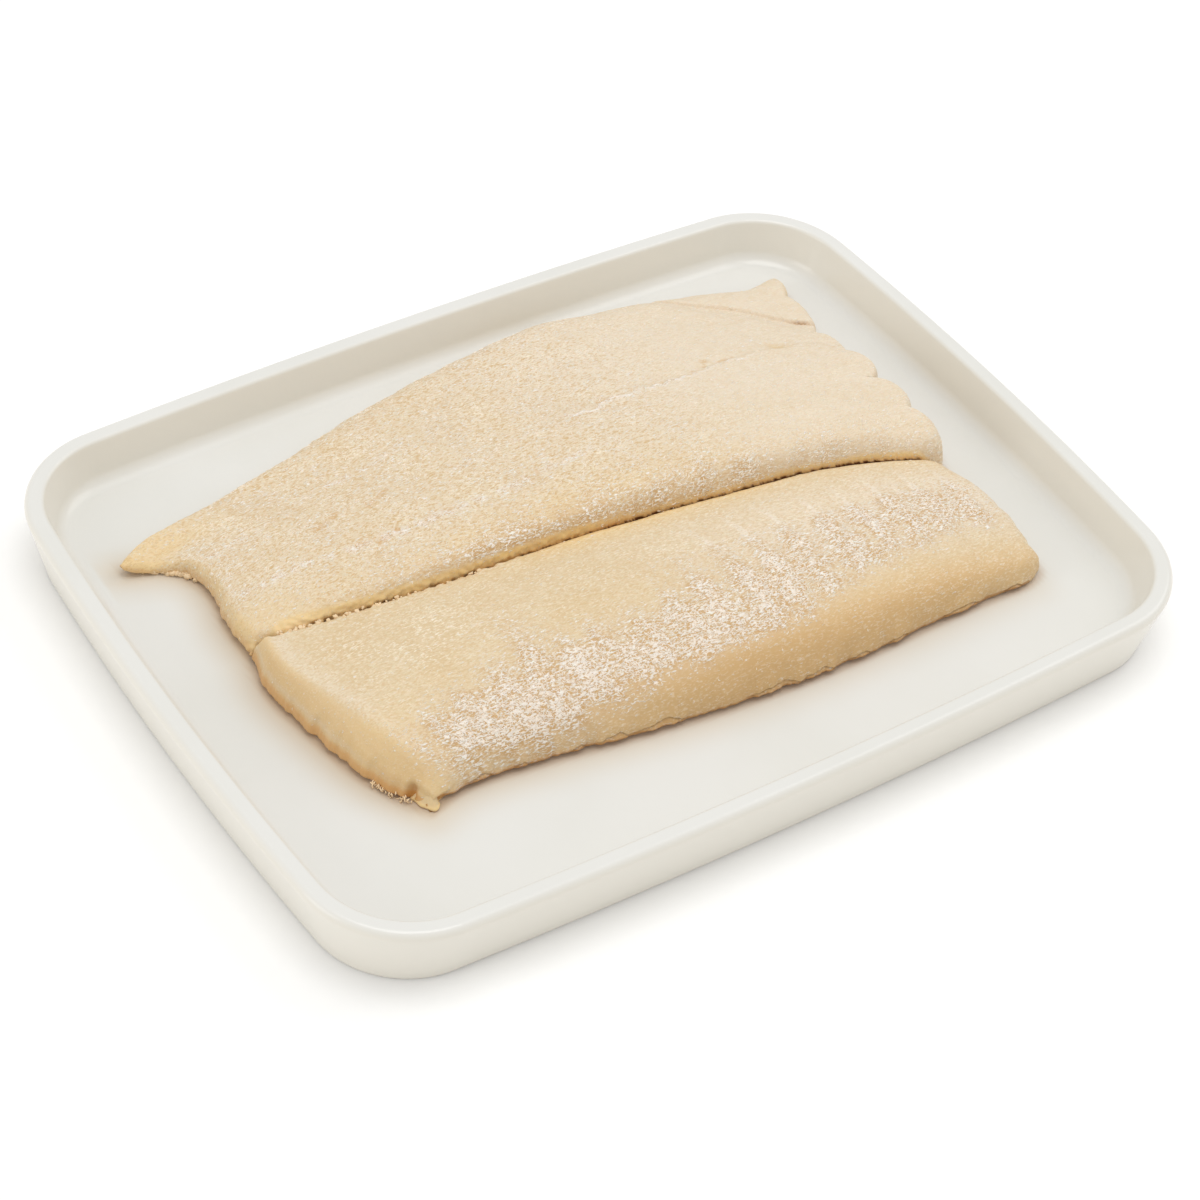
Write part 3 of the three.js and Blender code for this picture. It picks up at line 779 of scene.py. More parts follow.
# Fine relief of the front fillet in mm, and the layers that its finish reads. s and t are mm along and
# across, and climb is the way up from the near edge.
def frontDetail(u, v, s, t, climb):
    f, seed = frontFillet, frontFillet["seed"]
    patchy, lengthwise = unevenness(s, t, seed)
    toSeam = (1 - v) * f["meanWidth"]
    toEdge = np.minimum(s, climb)

    # frost: a band along the crown with ragged limits, crossed by ribs and broken into clumps
    ragged = 0.035 * patchy(8, 2) + 0.02 * patchy(2.6, 3)
    ribs = np.cos(ribTurn(u, v) + 1.1 * patchy(17, 4))
    tall = held(0.5 + 0.8 * lengthwise(10, 5))
    place, bandNear, bandFar = zip(*f["frostBand"])
    bandNear, bandFar = np.interp(u, place, bandNear), np.interp(u, place, bandFar)
    halfway = (v - bandNear) / (bandFar - bandNear)
    streaks = 1 - np.maximum(ease(halfway, 0.4, 1), 0.4 + 0.3 * ease(u, 0.55, 0.72)) * (0.28 + 0.28 * ribs)
    clumps = np.clip(0.98 + 0.4 * patchy(9, 6) + 0.5 * patchy(3.4, 7), 0.25, 1.1)
    band = ease(halfway + 3 * ragged, -0.3, 0.25) * ease(halfway + 2 * ragged, 1.25 + 0.3 * tall, 0.55)
    above = ease(halfway, 0.6, 1) * ease(v, 0.71, 0.64)
    thin = 0.26 * ease(u, 0.42, 0.58) * above * (1 - 0.4 * ribs)
    thin += 0.3 * bell(u, 0.275, 0.03) * bell(v, 0.56, 0.12)
    frost = held(band * along(f["frost"], u) * clumps * streaks + thin * ease(u, 0.99, 0.95))
    veil = 0.3 * bell(u, 0.2, 0.12) * bell(v, 0.72, 0.14) + 0.4 * ease(u, 0.45, 0.62) * bell(v, 0.62, 0.14)
    dust = held((veil + 0.12) * (0.9 + 1.3 * patchy(9, 8)) * ease(s, 6, 16))

    # flaps at the foot: a ledge that stands out, a painted highlight on its lip, and painted shade on its
    # underside and in the dark slit under it
    lip, ledge, under, slit = (np.zeros_like(s) for _ in range(4))
    for start, stop, height in f["flaps"]:
        across = (u - start) / (stop - start)
        window = ease(across, -0.15, 0.1) * ease(across, 1.12, 0.95)
        line = height * along([(0, 0.2), (0.7, 1), (1, 0.15)], across)
        past = climb - line - 0.25 * wander(s, start * 100, 2.5, seed + 10)
        ledge += 0.4 * window * ease(past, -0.1, 0.25) * ease(past, 5, 0.5)
        lip = np.maximum(lip, window * bell(past, 0.4, 0.3))
        under = np.maximum(under, window * ease(past, 0.15, -0.15))
        slit = np.maximum(slit, window * bell(past, -0.05, 0.25))

    # regions: the cut face at the left, the flank, the corner and the seam
    face = ease(s, 9.5 - 5 * v, 5 - 3 * v)
    faceMid = bell(s, 4.6 - 2.4 * v, 2.4 - v) * ease(v, 0.98, 0.85)
    # Painted shade: the cut face darker in its middle and towards its foot, and the lower flank tan.
    faceShade = (0.45 * faceMid + 0.4 * face * ease(s, 4, 1)) * ease(v, 0.02, 0.1)
    flank = ease(v, 0.34, 0.08) * along(f["flankGold"], u)
    seamGold = ease(v, 0.85, 0.95) * along(f["seamGold"], u)
    seamHoneyLight = ease(v, 0.93, 0.985) * along(f["seamHoneyLight"], u)
    leftEnd = ease(v, 0.5, 0.25) * ease(u, 0.12, 0.03)
    halo = ease(halfway, -0.8, -0.1) * ease(halfway, 2.1, 1.1) * ease(u, 0.95, 0.7)
    gold = 0.75 * flank + 0.8 * face + 0.6 * seamGold + 0.35 * leftEnd + 0.14 * halo
    # Painted shade in the corner's notch, behind the threads, and in a jagged line at the seam's foot.
    notch = bell(t, 6.6, 1.1) * ease(s, 1.9, 0.5)
    threadShade = bell(t, 12, 6) * ease(s, 1.8, 0.6)
    jaggedSeamShade = ease(toSeam, 0.9, 0.3) * ease(lengthwise(1.3, 18), 0.0, 0.25) * ease(u, 0.4, 0.33)
    cornerReach = np.hypot(s, t)
    # Painted highlights along the bottom rims: rim feeds the pale coat and rimLight the honey-gold one.
    rim = bell(toEdge, 0.75, 0.3)
    rimLight = 0.6 * bell(climb, 0.95, 0.3) * ease(u, 0.32, 0.15)
    # Painted shade: orange at the foot, under the flaps and low on the flank, dark brown at the very foot and
    # the seam's edge.
    footShade = 0.08 * under + 0.22 * ease(climb, 1.8, 0.4) * ease(u, 0.35, 0.2) + 0.1 * flank
    edgeShade = 0.5 * ease(toSeam, 0.9, 0.2) * ease(u, 0.42, 0.55) + 0.3 * ease(climb, 0.5, 0.1)

    lace = strokeLace(s, t, seed + 13)
    skin = 0.05 * patchy(3.2, 15) + 0.03 * strokes(s, t, 0.9, 3.4, 1.2, seed + 16)
    relief = 0.3 * patchy(24, 11) + 0.14 * patchy(8, 12)
    relief += (1 - 0.85 * face) * (skin + 0.04 * lace) + frost * (0.1 + 0.1 * lace) + ledge
    relief += 0.1 * face * strokes(s, t, 1.2, 9, 1.5, seed + 17)
    relief += 0.25 * ease(toSeam, 1.4, 0.2) + 0.45 * under * ease(climb, 2, 0) - 0.3 * slit
    relief += 0.5 * lengthwise(5, 20) * ease(climb, 2.5, 0.3) * ease(s, 4, 9)
    relief -= 1.5 * ease(cornerReach, 8.5, 5.5) * ease(toEdge, 2.5, 0.8) + 0.8 * bell(cornerReach, 0, 2.2)
    relief -= 1.1 * bell(t, 6.6, 1.0) * ease(s, 2.5, 0.8)
    relief += 0.45 * lengthwise(1.5, 19) * ease(toSeam, 1.6, 0.5) * ease(u, 0.4, 0.33)
    # Paler cream zones, and a painted highlight along the ridge of the cut face.
    creamAndRidgeHighlight = ease(u, 0.4, 0.75) * bell(v, 0.62, 0.26) + 0.5 * bell(s, 10 - 5 * v, 3)
    layers = {
        "frost": frost + 0.1 * lip,
        "dust": held(dust + 0.25 + 0.35 * ease(v, 0.24, 0.08) * ease(u, 0.42, 0.2)) * (1 - 0.6 * face),
        "pale": 0.05 + creamAndRidgeHighlight + 0.6 * lip + 0.7 * rim,
        "gold": gold - 0.5 * lip - 0.6 * rim,
        "tanPitsAndShade": 0.6 * under + 0.95 * flank * ease(v, 0.36, 0.1) + faceShade,
        # Orange painted shade along the bottom edges, in the notch, behind the threads and along the seam.
        "orangeShadeAndPits": footShade + 0.5 * ease(toEdge, 0.5, 0.1) + 0.5 * notch + 0.15 * threadShade + 0.6 * jaggedSeamShade,
        "line": 0.3 * ease(u, 0.5, 0.6) * bell(v, 0.72, 0.09) * ease(-ribs, 0.75, 1),
        "honeyLight": np.maximum(seamHoneyLight, 0.6 * lip + rimLight),
        "paintedShade": 0.4 * slit + edgeShade + 0.2 * notch + 0.05 * threadShade + 0.75 * jaggedSeamShade,
        "pits": (0.4 + 0.5 * np.sqrt(frost)) * (1 - 0.8 * face) * (1 - 0.5 * flank),
    }
    return relief, {key: held(values) for key, values in layers.items()}


# Fine relief of the back fillet in mm, and the layers that its finish reads.
def backDetail(u, v, s, t, climb):
    f, seed = backFillet, backFillet["seed"]
    patchy, lengthwise = unevenness(s, t, seed)
    length, width = lengthOf(f), widthAt(f, u)

    # the crease with its raised brim, and two broken lines of salt
    crease, onCrease = pathDistance(f, s, t + 1.9 * lengthwise(9, 2) + 1.3 * lengthwise(3.2, 3), f["crease"])
    crack = bell(crease, 0.35, 0.36) * along(f["creaseOpen"], onCrease)
    brim = bell(crease, -0.5, 0.6) * along(f["brim"], onCrease)
    saltLine, onSalt = pathDistance(f, s, t + 0.8 * lengthwise(5, 4), f["saltLine"])
    upper, onUpper = pathDistance(f, s, t + 0.8 * lengthwise(6, 6), f["upperLine"])
    white = bell(saltLine, 0, 1.1) * along(f["saltWhite"], onSalt)
    white = np.maximum(white, 0.6 * bell(upper, 0, 1.0) * along(f["upperWhite"], onUpper))
    white *= ease(lengthwise(3.5, 5) + 0.4, 0, 0.4)

    # small holes along both, listed pits, and a dimple
    sparse = ease(lengthwise(2.6, 7), 0.1, 0.45)
    holes = bell(saltLine, 1.2, 0.6) * sparse * along(f["lineHoles"], onSalt)
    byCrease = 0.4 * bell(crease, 1.0, 0.55) * ease(onCrease, 0.55, 0.6) * ease(onCrease, 0.85, 0.8)
    holes = np.maximum(holes, byCrease * sparse)
    rough = 0.75 + 0.9 * patchy(1.1, 8)
    for pitU, pitV, long, wide, turn in f["pits"]:
        x, y = s - pitU * length, (v - pitV) * width
        c, d = math.cos(math.radians(turn)), math.sin(math.radians(turn))
        reach = np.hypot((x * c + y * d) / long, (y * c - x * d) / wide)
        holes = np.maximum(holes, 0.6 * ease(reach * (1.7 - rough), 1.1, 0.3))
    dimple = bell(s, 0.893 * length, 2.8) * bell((v - 0.562) * width, 0, 2.0)

    # the fold that frees the back corner, and the gap at its end, with painted shade along the fold and in
    # the gap
    fold = (v - foldAt(u)) * width * 0.8
    loose = ease(fold, -0.3, 0.5) * ease(u, 0.78, 0.84)
    gap = bell(s, 0.972 * length, 2.6) * bell(fold, -0.3, 0.26)
    foldShade = bell(fold, -0.15, 0.4) * ease(u, 0.8, 0.84)

    # skin and frost
    corners = bell(u, 0.03, 0.06) * np.maximum(ease(v, 0.72, 0.88), ease(v, 0.32, 0.12))
    smooth = ease(u, 0.55, 0.8) * (1 - ease(v, 0.16, 0.06)) * 0.55 + 0.3 * loose
    coarse = np.clip(1 - smooth - 0.55 * corners, 0.2, 1)
    clumps = held(0.5 + 0.6 * patchy(13, 15) + 0.4 * patchy(5, 16))
    seamSalt = 0.34 * bell(climb, 6, 6) * along(f["seamSalt"], u) * (0.9 + 0.5 * patchy(6, 17))
    frost = 0.24 * clumps * coarse + 0.5 * white + 0.5 * brim + held(seamSalt)
    mottled = 0.6 + 0.45 * patchy(12, 19) + 0.3 * patchy(4.5, 23)

    # the wall over the seam: honey-gold painted lighter to lift its shade, torn open at its foot, with small
    # mouths at the left
    torn = climb + 0.5 * lengthwise(1.9, 20) + 0.35 * lengthwise(0.8, 21)
    bevel = ease(u, 0.56, 0.46) * ease(climb, 5.5, 3.2) + 0.6 * ease(u, 0.46, 0.56) * ease(climb, 4, 1)
    edge = ease(s, 3, 1) + 0.4 * ease((1 - u) * length, 1.8, 0.3)
    wedge = bell(u, 0.515, 0.025) * ease(climb, 3.4, 1.5)
    # Painted dark shade in the crevice at the seam's foot, and a painted orange glow in its shade.
    creviceShade = ease(torn, 1.15, 0.75) * along(f["creviceShade"], u)
    glow = ease(torn, 2.1, 1.2) * along(f["glow"], u)
    half = ease(u, 0.46, 0.56)
    cloudy = 0.85 + 0.5 * wander(s, climb, 2.2, seed + 26)
    # Honey-gold painted light on the shaded seam wall.
    honeyLight = (1 - half) * ease(climb, 5.5, 3.2) * along(f["wallHoneyLight"], u) * cloudy
    honeyLight = (honeyLight + half * ease(climb, 4.2, 2)) * ease(climb, 0.2, 0.8)
    # Small mouths at the left, with painted shade in them.
    mouths = ease(lengthwise(1.3, 25), 0.1, 0.3) * ease(climb, 1.4, 0.6)
    mouths *= ease(u, 0.45, 0.38) * ease(u, 0.02, 0.05)
    nearGold = ease(v, 0.22, 0.05) * along(f["nearGold"], u)

    relief = 0.5 * patchy(26, 9) + 0.22 * patchy(9, 10) + 0.05 * patchy(3.6, 11)
    relief += coarse * 0.06 * strokeLace(s, t, seed + 12) + 0.03 * strokes(s, t, 0.9, 3.2, 0.5, seed + 14)
    relief += 0.7 * bell(s, 0, 4) * ease(v, 0.8, 0.95)
    relief += 0.45 * brim + 0.1 * white
    relief -= 0.06 * crack + 0.35 * holes + 0.5 * dimple + 0.35 * gap + 0.08 * foldShade
    relief += (0.35 + 0.5 * lengthwise(1.5, 22)) * ease(climb, 1.3, 0.3)
    relief += bevel * ease(u, 0.52, 0.45) * 0.35 * wander(s, climb, 1.5, seed + 24) - 0.3 * mouths
    pale = 0.42 + ease(u, 0.3, 0.85) * (0.3 + 0.7 * ease(v, 0.1, 0.6)) + 0.3 * loose
    layers = {
        "frost": frost * (1 - bevel),
        "dust": mottled * coarse * (1 - bevel) * (1 - edge),
        # Pale painted light near the seam at the right, on its shaded wall.
        "pale": held(pale + 0.5 * ease(u, 0.6, 0.8) * ease(v, 0.24, 0.1)) * (1 - edge),
        "gold": 0.9 * bevel + 0.45 * corners + 0.6 * edge + 0.5 * dimple + nearGold + 0.5 * wedge,
        "tanPitsAndShade": 0.8 * nearGold * ease(v, 0.12, 0) + 0.95 * holes + 0.4 * crack + 0.4 * dimple,
        "line": 0.8 * brim + 0.55 * white,
        "honeyLight": honeyLight + 0.3 * corners * ease(v, 0.5, 0.7),
        # Orange painted shade at the tail's foot, along the fold and in its gap, the painted glow at the
        # seam, and the pits.
        "orangeShadeAndPits": 0.25 * holes + 0.3 * wedge + 0.12 * foldShade + 0.6 * gap + 0.25 * ease(s, 0.5, 0.1) + glow,
        "paintedShade": creviceShade + 0.5 * gap + 0.12 * mouths,
        "pits": (0.15 + 0.75 * coarse) * (1 - bevel) * (1 - 0.6 * ease(u, 0.6, 0.8)),
    }
    return relief, {key: held(values) for key, values in layers.items()}


# A fillet: the smooth top pushed out along its normals by the fine relief, rings that turn under the outline,
# and one flat face underneath.
def makeFillet(fillet, form, detail, finish):
    parts = ((True, "lengthSteps"), (False, "widthSteps"))
    steps = [evenSteps(fillet, form, lengthwise, fish[key]) for lengthwise, key in parts]
    u, v = np.meshgrid(*steps, indexing="ij")
    top = smoothTop(fillet, form, u, v)
    normal = np.cross(np.gradient(top, axis=0), np.gradient(top, axis=1))
    normal = normal / np.linalg.norm(normal, axis=-1, keepdims=True)
    s, t = u * lengthOf(fillet), v * widthAt(fillet, u)
    climb = np.pad(np.cumsum(np.linalg.norm(np.diff(top, axis=1), axis=-1), 1), ((0, 0), (1, 0)))
    relief, layers = detail(u, v, s, t, climb)
    raised = top + normal * relief[..., None]

    index = np.arange(u.size).reshape(u.shape)
    rim = np.concatenate([index[:-1, 0], index[-1, :-1], index[:0:-1, -1], index[0, :0:-1]])
    flat = raised.reshape(-1, 3)
    rimU, rimV = u.ravel()[rim], v.ravel()[rim]
    shift = flat[rim] - top.reshape(-1, 3)[rim]
    rimEdge = flat[rim, 2] - fish["rest"]
    rings = []
    for inset, share in fish["underRings"]:
        reach = inset * fish["undercut"]
        narrowU = 1 - 2 * reach / lengthOf(fillet)
        narrowV = 1 - 2 * reach / np.maximum(widthAt(fillet, rimU), 4 * fish["undercut"])
        plan = planAt(fillet, 0.5 + (rimU - 0.5) * narrowU, 0.5 + (rimV - 0.5) * narrowV)
        ring = np.column_stack([plan, fish["rest"] + share * rimEdge])
        ring[:, :2] += shift[:, :2] * share
        rings.append(ring)
    faces = [face[::-1] for face in gridFaces(*u.shape)]
    around = np.arange(len(rim))
    nextOne = (around + 1) % len(rim)
    upper = rim
    for k in range(len(rings)):
        lower = len(flat) + k * len(rim) + around
        faces += np.stack([lower, lower[nextOne], upper[nextOne], upper], -1).tolist()
        upper = lower
    faces.append(upper[::-1].tolist())
    source = np.concatenate([index.ravel()] + [rim] * len(rings))
    spread = {key: values.ravel()[source] for key, values in layers.items()}
    piece = addPiece(fillet["name"], np.concatenate([flat] + rings), faces, finish, spread)
    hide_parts(fillet["node"])
    print(fillet["name"], "made")
    cells = [np.linalg.norm(np.gradient(raised, axis=axis), axis=-1) for axis in (0, 1)]
    return {"points": raised, "normal": normal, "layers": layers, "v": v, "cells": cells}


flesh = {
    "cream": (222, 202, 167),
    "warm": (216, 190, 148),
    "pale": (230, 215, 192),
    "gold": (231, 203, 153),
    "tan": (208, 174, 124),  # the pits, and painted shade low on the flanks, on the cut face and under the flaps
    "honeyLight": (243, 209, 143),  # painted light: honey-gold lifting the shaded seam walls, and highlights on rims and lips
    "pit": (206, 170, 116),
    "gap": (198, 157, 102),  # between the flakes of the frost
    # orange for pits, painted shade at the feet and in the seam, and a painted glow; dark brown for painted
    # shade in slits and cracks
    "orangeShadeAndPits": (215, 153, 80),
    "paintedShade": (88, 44, 11),
    "fleck": (245, 231, 207),  # strokes on plain flesh
    "milk": (232, 219, 203),  # frosted skin between its flakes
    "salt": (246, 240, 231),
}


# Salted flesh: cream with warmer clouds and golden where it is thin. Painted light lifts it in places
# (honey-gold on the shaded seam walls, highlights on rims and lips), and painted shade darkens it (tan and
# orange low on the flanks, under the flaps and at the feet, dark brown in slits, cracks and the seam). Short
# strokes that lie in two directions cover it, pale ones over tan ones, and where the frost is strong the pale
# ones become white flakes with tan gaps.
def fleshFinish():
    fixed = {
        "Subsurface Weight": 0.08,
        "Subsurface Radius": (1.0, 0.6, 0.35),
        "Subsurface Scale": 0.0015,
        "Specular IOR Level": 0.35,
    }
    finish, wire, shader = newFinish("salted_flesh", fixed)
    tones = {key: tone(*values) for key, values in flesh.items()}
    place = wire.place().scaled((1000, 1000, 1000))
    frost, dust, pale, gold, tanPitsAndShade = wire.layers("frost", "dust", "pale", "gold", "tanPitsAndShade")
    orangeShadeAndPits, paintedShade, pits, line, honeyLight = wire.layers("orangeShadeAndPits", "paintedShade", "pits", "line", "honeyLight")
    clouds = place.noise(15, 3).eased(0.35, 0.68)
    mottle = place.noise(2.6, 3, 0.6).eased(0.38, 0.66)
    patches = place.moved((9, 4, 2)).noise(2.6, 1).eased(0.44, 0.56)
    first, second = place.weave(1.3, 0.5, 25), place.moved((31, 17, 5)).weave(1.3, 0.5, -60)
    woven = first + (second - first) * patches
    light, shade = woven.eased(0.5, 0.66), woven.eased(0.5, 0.36)
    salt = (woven + frost**0.6 * 0.21).eased(0.66, 0.75).over(line * woven.eased(0.3, 0.46))
    gaps = woven.eased(0.54, 0.42) * frost.eased(0.1, 0.6)

    # each coat lies over those before it
    coats = [
        (pale, "pale"), (mottle * 0.2, "warm"), (gold * 0.95, "gold"), (tanPitsAndShade, "tan"), (honeyLight * 0.9, "honeyLight"),
        (shade * pits * 0.85, "pit"), (light * (0.08 + dust * 1.25) * (1 - gold * 0.4), "fleck"),
        (frost * 0.6, "milk"), (gaps * 0.8, "gap"), (salt * 0.9, "salt"), (orangeShadeAndPits, "orangeShadeAndPits"), (paintedShade, "paintedShade"),
    ]
    colour = (clouds * 0.5).between(tones["cream"], tones["warm"])
    for share, key in coats:
        colour = share.between(colour, tones[key])
    height = woven * (0.4 + dust * 0.4) + salt * 0.5
    feed(shader, {
        "Base Color": colour,
        "Roughness": 0.54 + salt * 0.25 - gold * 0.14,
        "Normal": wire.node("ShaderNodeBump", {}, {"Height": height, "Strength": 0.8, "Distance": 0.00024}),
    })
    return finish


# Salt needles

needles = {
    "front": 7000,
    "back": 4500,
    "short": 0.6,  # length in mm
    "long": 1.7,
    "width": 0.36,
    "height": 0.16,
    "clearance": 0.03,  # of the tips over the skin
    "sunk": 0.04,  # how deep the sides lie in it
    "seed": 31,
    "clear": (252, 243, 232),
    "cloudy": (246, 234, 219),
    "soaked": (236, 219, 190),
}


# White salt, with cloudiness and, where a needle has soaked up brine, the flesh's cream.
def saltFinish():
    finish, wire, shader = newFinish("salt_needles", {"Specular IOR Level": 0.4})
    place = wire.place()
    soaked = wire.layers("soaked")[0]
    salt = place.noise(0.0007, 2).between(tone(*needles["clear"]), tone(*needles["cloudy"]))
    feed(shader, {
        "Base Color": soaked.between(salt, tone(*needles["soaked"])),
        "Roughness": soaked * 0.1 + place.noise(0.002, 2) * 0.3 + 0.35,
    })
    return finish


# Values of a grid at broken row and column numbers, blended between the four points around.
def blended(grid, i, j):
    i, j = np.clip(i, 0, grid.shape[0] - 1.001), np.clip(j, 0, grid.shape[1] - 1.001)
    a, b = i.astype(int), j.astype(int)
    x, y = (i - a)[:, None], (j - b)[:, None]
    low = grid[a, b] * (1 - x) + grid[a + 1, b] * x
    high = grid[a, b + 1] * (1 - x) + grid[a + 1, b + 1] * x
    return low * (1 - y) + high * y


# Random places on a skin, as broken row and column numbers, drawn by a weight for each square millimetre.
def drawPlaces(skin, weight, count, draw):
    chance = (weight * skin["cells"][0] * skin["cells"][1])[:-1, :-1].ravel()
    pick = draw.choice(len(chance), count, p=chance / chance.sum())
    i, j = np.divmod(pick, weight.shape[1] - 1)
    return i + draw.random(count), j + draw.random(count)


# Needles on a fillet: each is a bent splinter of six triangles whose two tips and middle lie on the skin.
def scatterNeedles(name, skin, weight, soaked, count, finish):
    draw = np.random.default_rng(needles["seed"] + count)
    i, j = drawPlaces(skin, weight, count, draw)
    stepI, stepJ = (cell[i.astype(int), j.astype(int)] for cell in skin["cells"])
    size = needles["short"] + (needles["long"] - needles["short"]) * draw.random(count) ** 1.6
    angle = draw.uniform(0, np.pi, count)
    reachI, reachJ = np.cos(angle) * size / 2 / stepI, np.sin(angle) * size / 2 / stepJ
    bend = draw.uniform(-0.35, 0.35, count) * size
    midI, midJ = i - np.sin(angle) * bend / stepI, j + np.cos(angle) * bend / stepJ
    up = blended(skin["normal"], midI, midJ)
    tips = [blended(skin["points"], i + k * reachI, j + k * reachJ) for k in (-1, 1)]
    middle = blended(skin["points"], midI, midJ)
    aside = np.cross(up, tips[1] - tips[0])
    aside = aside / np.maximum(np.linalg.norm(aside, axis=1, keepdims=True), 1e-9)
    wide = (needles["width"] * draw.uniform(0.6, 1.2, count) * np.sqrt(size))[:, None] / 2
    high = (needles["height"] * draw.uniform(0.6, 1.4, count))[:, None]
    base = middle - up * needles["sunk"]
    corners = [tip + up * needles["clearance"] for tip in tips] + [base + aside * wide, base - aside * wide]
    points = np.stack(corners + [middle + up * high], 1).reshape(-1, 3)
    pattern = np.array([(0, 3, 4), (0, 4, 2), (0, 2, 3), (1, 4, 3), (1, 2, 4), (1, 3, 2)])
    faces = (pattern[None] + 5 * np.arange(count)[:, None, None]).reshape(-1, 3).tolist()
    tinted = held(blended(soaked[..., None], i, j)[:, 0] + draw.normal(0, 0.2, count))
    piece = addPiece(name, points, faces, finish, {"soaked": np.repeat(tinted, 5)})
    piece.data.shade_flat()


# Crumbs and torn edges

crumbs = {
    "seamCount": 62,
    "small": 0.32,  # radius in mm
    "large": 0.65,
    "toothCount": 60,  # along the torn underside of the tail
    # limits of a tooth's share along the edge, distance out from it, height and radius
    "toothLimits": ((0.62, 0.9), (-0.9, -0.1), (0.5, 1.3), (0.4, 0.75)),
    "threads": 44,  # curled threads along the torn bottom of the cut face
    "threadThick": 0.24,
    "seed": 57,
    "pale": (250, 228, 196),
    "golden": (238, 204, 154),
}

# The thin lobe at the front fillet's near left corner
lobe = {
    "outline": [(-92.9, -51.3), (-92.2, -52.6), (-91.9, -54.7), (-90.9, -56.2), (-90.0, -57.6),
                (-89.2, -58.2), (-88.0, -57.8), (-87.0, -56.6), (-87.2, -55.7), (-84.6, -54.4),
                (-84.6, -51.6), (-87.6, -49.4), (-91.2, -49.6), (-92.9, -51.3)],
    "steps": 72,
    # share of the outline, and height over the tray's floor
    "section": [(0.86, 0.06), (0.97, 0.25), (1.0, 0.62), (0.97, 0.95), (0.9, 1.2), (0.8, 1.7), (0.66, 2.7),
                (0.5, 3.8), (0.3, 4.8), (0.12, 5.3)],
    "top": 5.4,
}


# Golden crumbs: flesh torn along the seam, pale and golden in random patches.
def crumbFinish():
    finish, wire, shader = newFinish("torn_flesh", {"Specular IOR Level": 0.35})
    place = wire.place()
    feed(shader, {
        "Base Color": place.noise(0.0012, 3).between(tone(*crumbs["pale"]), tone(*crumbs["golden"])),
        "Roughness": place.noise(0.0008, 2) * 0.3 + 0.4,
    })
    return finish


# A ball of rings between two poles, each of its points pushed in or out at random.
def lumps(centres, sizes, draw):
    rings, sides = 5, 8
    polar = np.linspace(0, np.pi, rings + 2)[1:-1]
    around = np.arange(sides) * 2 * np.pi / sides
    ball = [(0, 0, -1)] + [
        (math.sin(p) * math.cos(a), math.sin(p) * math.sin(a), -math.cos(p)) for p in polar for a in around
    ] + [(0, 0, 1)]
    ball = np.array(ball)
    faces = [(0, 1 + (k + 1) % sides, 1 + k) for k in range(sides)]
    for ring in range(rings - 1):
        first = 1 + ring * sides
        for k in range(sides):
            follow = (k + 1) % sides
            faces.append((first + k, first + follow, first + sides + follow, first + sides + k))
    last = 1 + (rings - 1) * sides
    faces += [(last + k, last + (k + 1) % sides, len(ball) - 1) for k in range(sides)]
    push = 1 + 0.22 * draw.normal(size=(len(centres), len(ball), 1))
    stretch = draw.uniform(0.7, 1.5, (len(centres), 1, 3))
    points = centres[:, None] + ball[None] * push * stretch * sizes[:, None, None]
    count = len(ball)
    joined = [[corner + n * count for corner in face] for n in range(len(centres)) for face in faces]
    return points.reshape(-1, 3), joined


# Threads: open rings of a thin round tube, closed at both ends, leaning in every direction.
def threads(centres, sizes, thick, draw):
    steps, sides = 9, 5
    around = np.arange(sides) * 2 * np.pi / sides
    points, faces = [], []
    for centre, size in zip(centres, sizes):
        axes = np.linalg.qr(draw.normal(size=(3, 3)))[0]
        sweep = np.linspace(0, draw.uniform(1.0, 2.4), steps)
        path = np.stack([np.cos(sweep), np.sin(sweep), 0.25 * sweep], -1) * size
        away = np.stack([np.cos(sweep), np.sin(sweep), 0 * sweep], -1)
        taper = thick * np.sin(np.linspace(0.35, np.pi - 0.35, steps))[:, None, None]
        circle = np.cos(around)[None, :, None] * away[:, None] + np.sin(around)[None, :, None] * (0, 0, 1)
        tube = path[:, None] + taper * circle
        first = len(points)
        points += (centre + tube.reshape(-1, 3) @ axes.T).tolist()
        quads = gridFaces(steps, sides, closed=True, first=first)
        flip = np.linalg.det(axes) > 0
        last = first + (steps - 1) * sides
        ends = [list(range(first, first + sides)), list(range(last, last + sides))[::-1]]
        shell = [face[::-1] for face in quads + ends]
        faces += [face[::-1] for face in shell] if flip else shell
    return np.array(points), faces


# Lumps along one edge of a fillet: shares along it, distances out from it and heights over the tray's floor.
def edgeLumps(name, edge, share, out, height, sizes, draw, finish):
    line = curveThrough(edge, share)
    step = curveThrough(edge, share + 0.002) - line
    step = step / np.linalg.norm(step, axis=1, keepdims=True)
    aside = np.stack([-step[:, 1], step[:, 0]], -1)
    centres = np.column_stack([line + aside * out[:, None], tray["floorHeight"] + height])
    piece = addPiece(name, *lumps(centres, sizes, draw), finish)


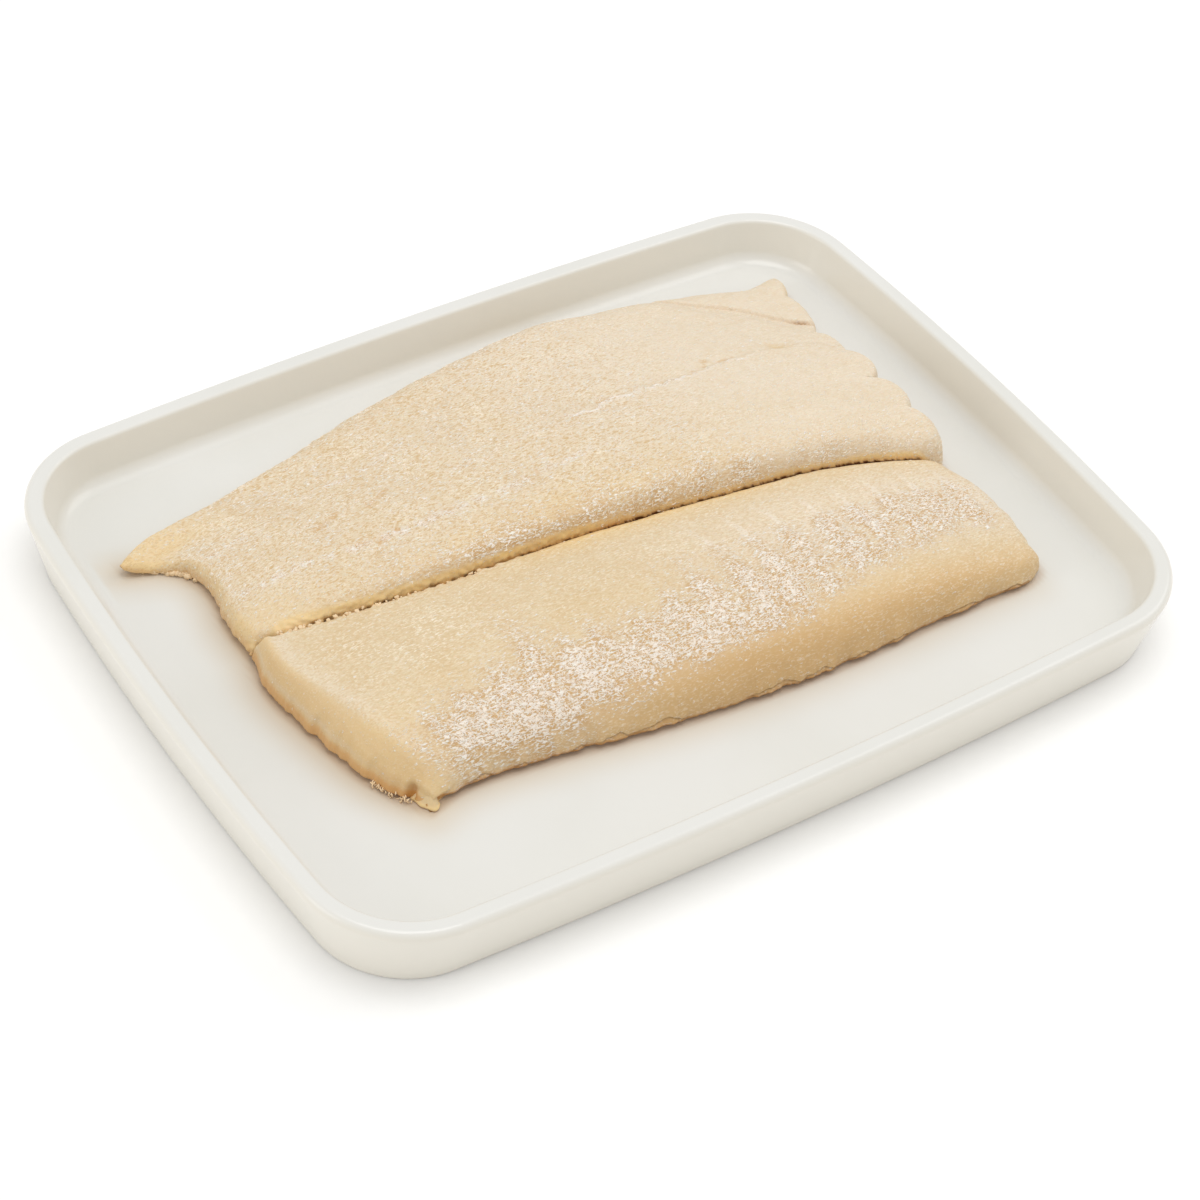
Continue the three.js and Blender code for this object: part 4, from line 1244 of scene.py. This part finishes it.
# The thin lobe that the cut face's corner spreads on the tray: rings of one outline under a low swelling.
def makeLobe(finish):
    loop = curveThrough(lobe["outline"], np.linspace(0, 1, lobe["steps"] + 1))[:-1]
    middle, floor = loop.mean(axis=0), tray["floorHeight"]
    rings = [level(middle + (loop - middle) * share, floor + z) for share, z in lobe["section"]]
    lowest = floor + lobe["section"][0][1]
    points, faces = closedShell(rings, (*middle, lowest), (*middle, floor + lobe["top"]))
    height = points[:, 2] - floor
    # Painted highlight round the lobe's rim, paler higher up, and orange and dark painted shade at its foot.
    layers = {
        "gold": np.full(len(points), 0.75),
        "pale": 0.5 * bell(height, 1.1, 0.2) + 0.2 * ease(height, 1.6, 2.4),
        "honeyLight": 0.8 * bell(height, 1.0, 0.3),
        "orangeShadeAndPits": 0.8 * ease(height, 0.6, 0.1),
        "paintedShade": 0.4 * ease(height, 0.35, 0.05),
    }
    piece = addPiece("corner_lobe", points, faces, finish, layers)


# Crumbs that line the left half of the seam, teeth under the tail, and curled threads at the foot of the cut
# face.
def makeTornEdges(finish):
    draw = np.random.default_rng(crumbs["seed"])
    count = crumbs["seamCount"]
    share = 0.03 + 0.3 * draw.random(count) ** 1.6
    sizes = crumbs["small"] + (crumbs["large"] - crumbs["small"]) * draw.random(count) ** 2
    out = draw.normal(0, 0.3, count) - 0.3
    height = 11.0 - 0.6 * np.abs(out) + draw.uniform(-0.3, 0.2, count)
    edgeLumps("seam_crumbs", frontFillet["far"], share, out, height, sizes, draw, finish)

    count = crumbs["toothCount"]
    share, out, height, sizes = (draw.uniform(low, high, count) for low, high in crumbs["toothLimits"])
    edgeLumps("tail_teeth", backFillet["left"], share, out, height, sizes, draw, finish)

    count = crumbs["threads"]
    line = curveThrough(frontFillet["left"], draw.uniform(0.09, 0.25, count))
    line[:, 0] += draw.uniform(-0.3, 0.9, count)
    centres = np.column_stack([line, tray["floorHeight"] + draw.uniform(0.6, 1.7, count)])
    sizes = draw.uniform(0.5, 0.95, count)
    piece = addPiece("torn_threads", *threads(centres, sizes, crumbs["threadThick"], draw), finish)
    print("torn edges made")


makeCamera()
makeStage()
makeTray(glazeFinish())
fleshLook = fleshFinish()
frontSkin = makeFillet(frontFillet, frontForm, frontDetail, fleshLook)
backSkin = makeFillet(backFillet, backForm, backDetail, fleshLook)
saltLook = saltFinish()
frontFrost, backFrost = (skin["layers"]["frost"] for skin in (frontSkin, backSkin))
frontWeight = (frontFrost**2 + 0.01 * frontSkin["layers"]["dust"]) * ease(frontSkin["v"], 0.02, 0.1)
backWeight = 0.5 * backFrost**1.5 + 0.2 * backSkin["layers"]["dust"] ** 2
scatterNeedles("front_salt", frontSkin, frontWeight, 0.7 - 0.8 * frontFrost, needles["front"], saltLook)
scatterNeedles("back_salt", backSkin, backWeight, 0.6 - 0.7 * backFrost, needles["back"], saltLook)
print("salt scattered")
makeTornEdges(crumbFinish())
makeLobe(fleshLook)
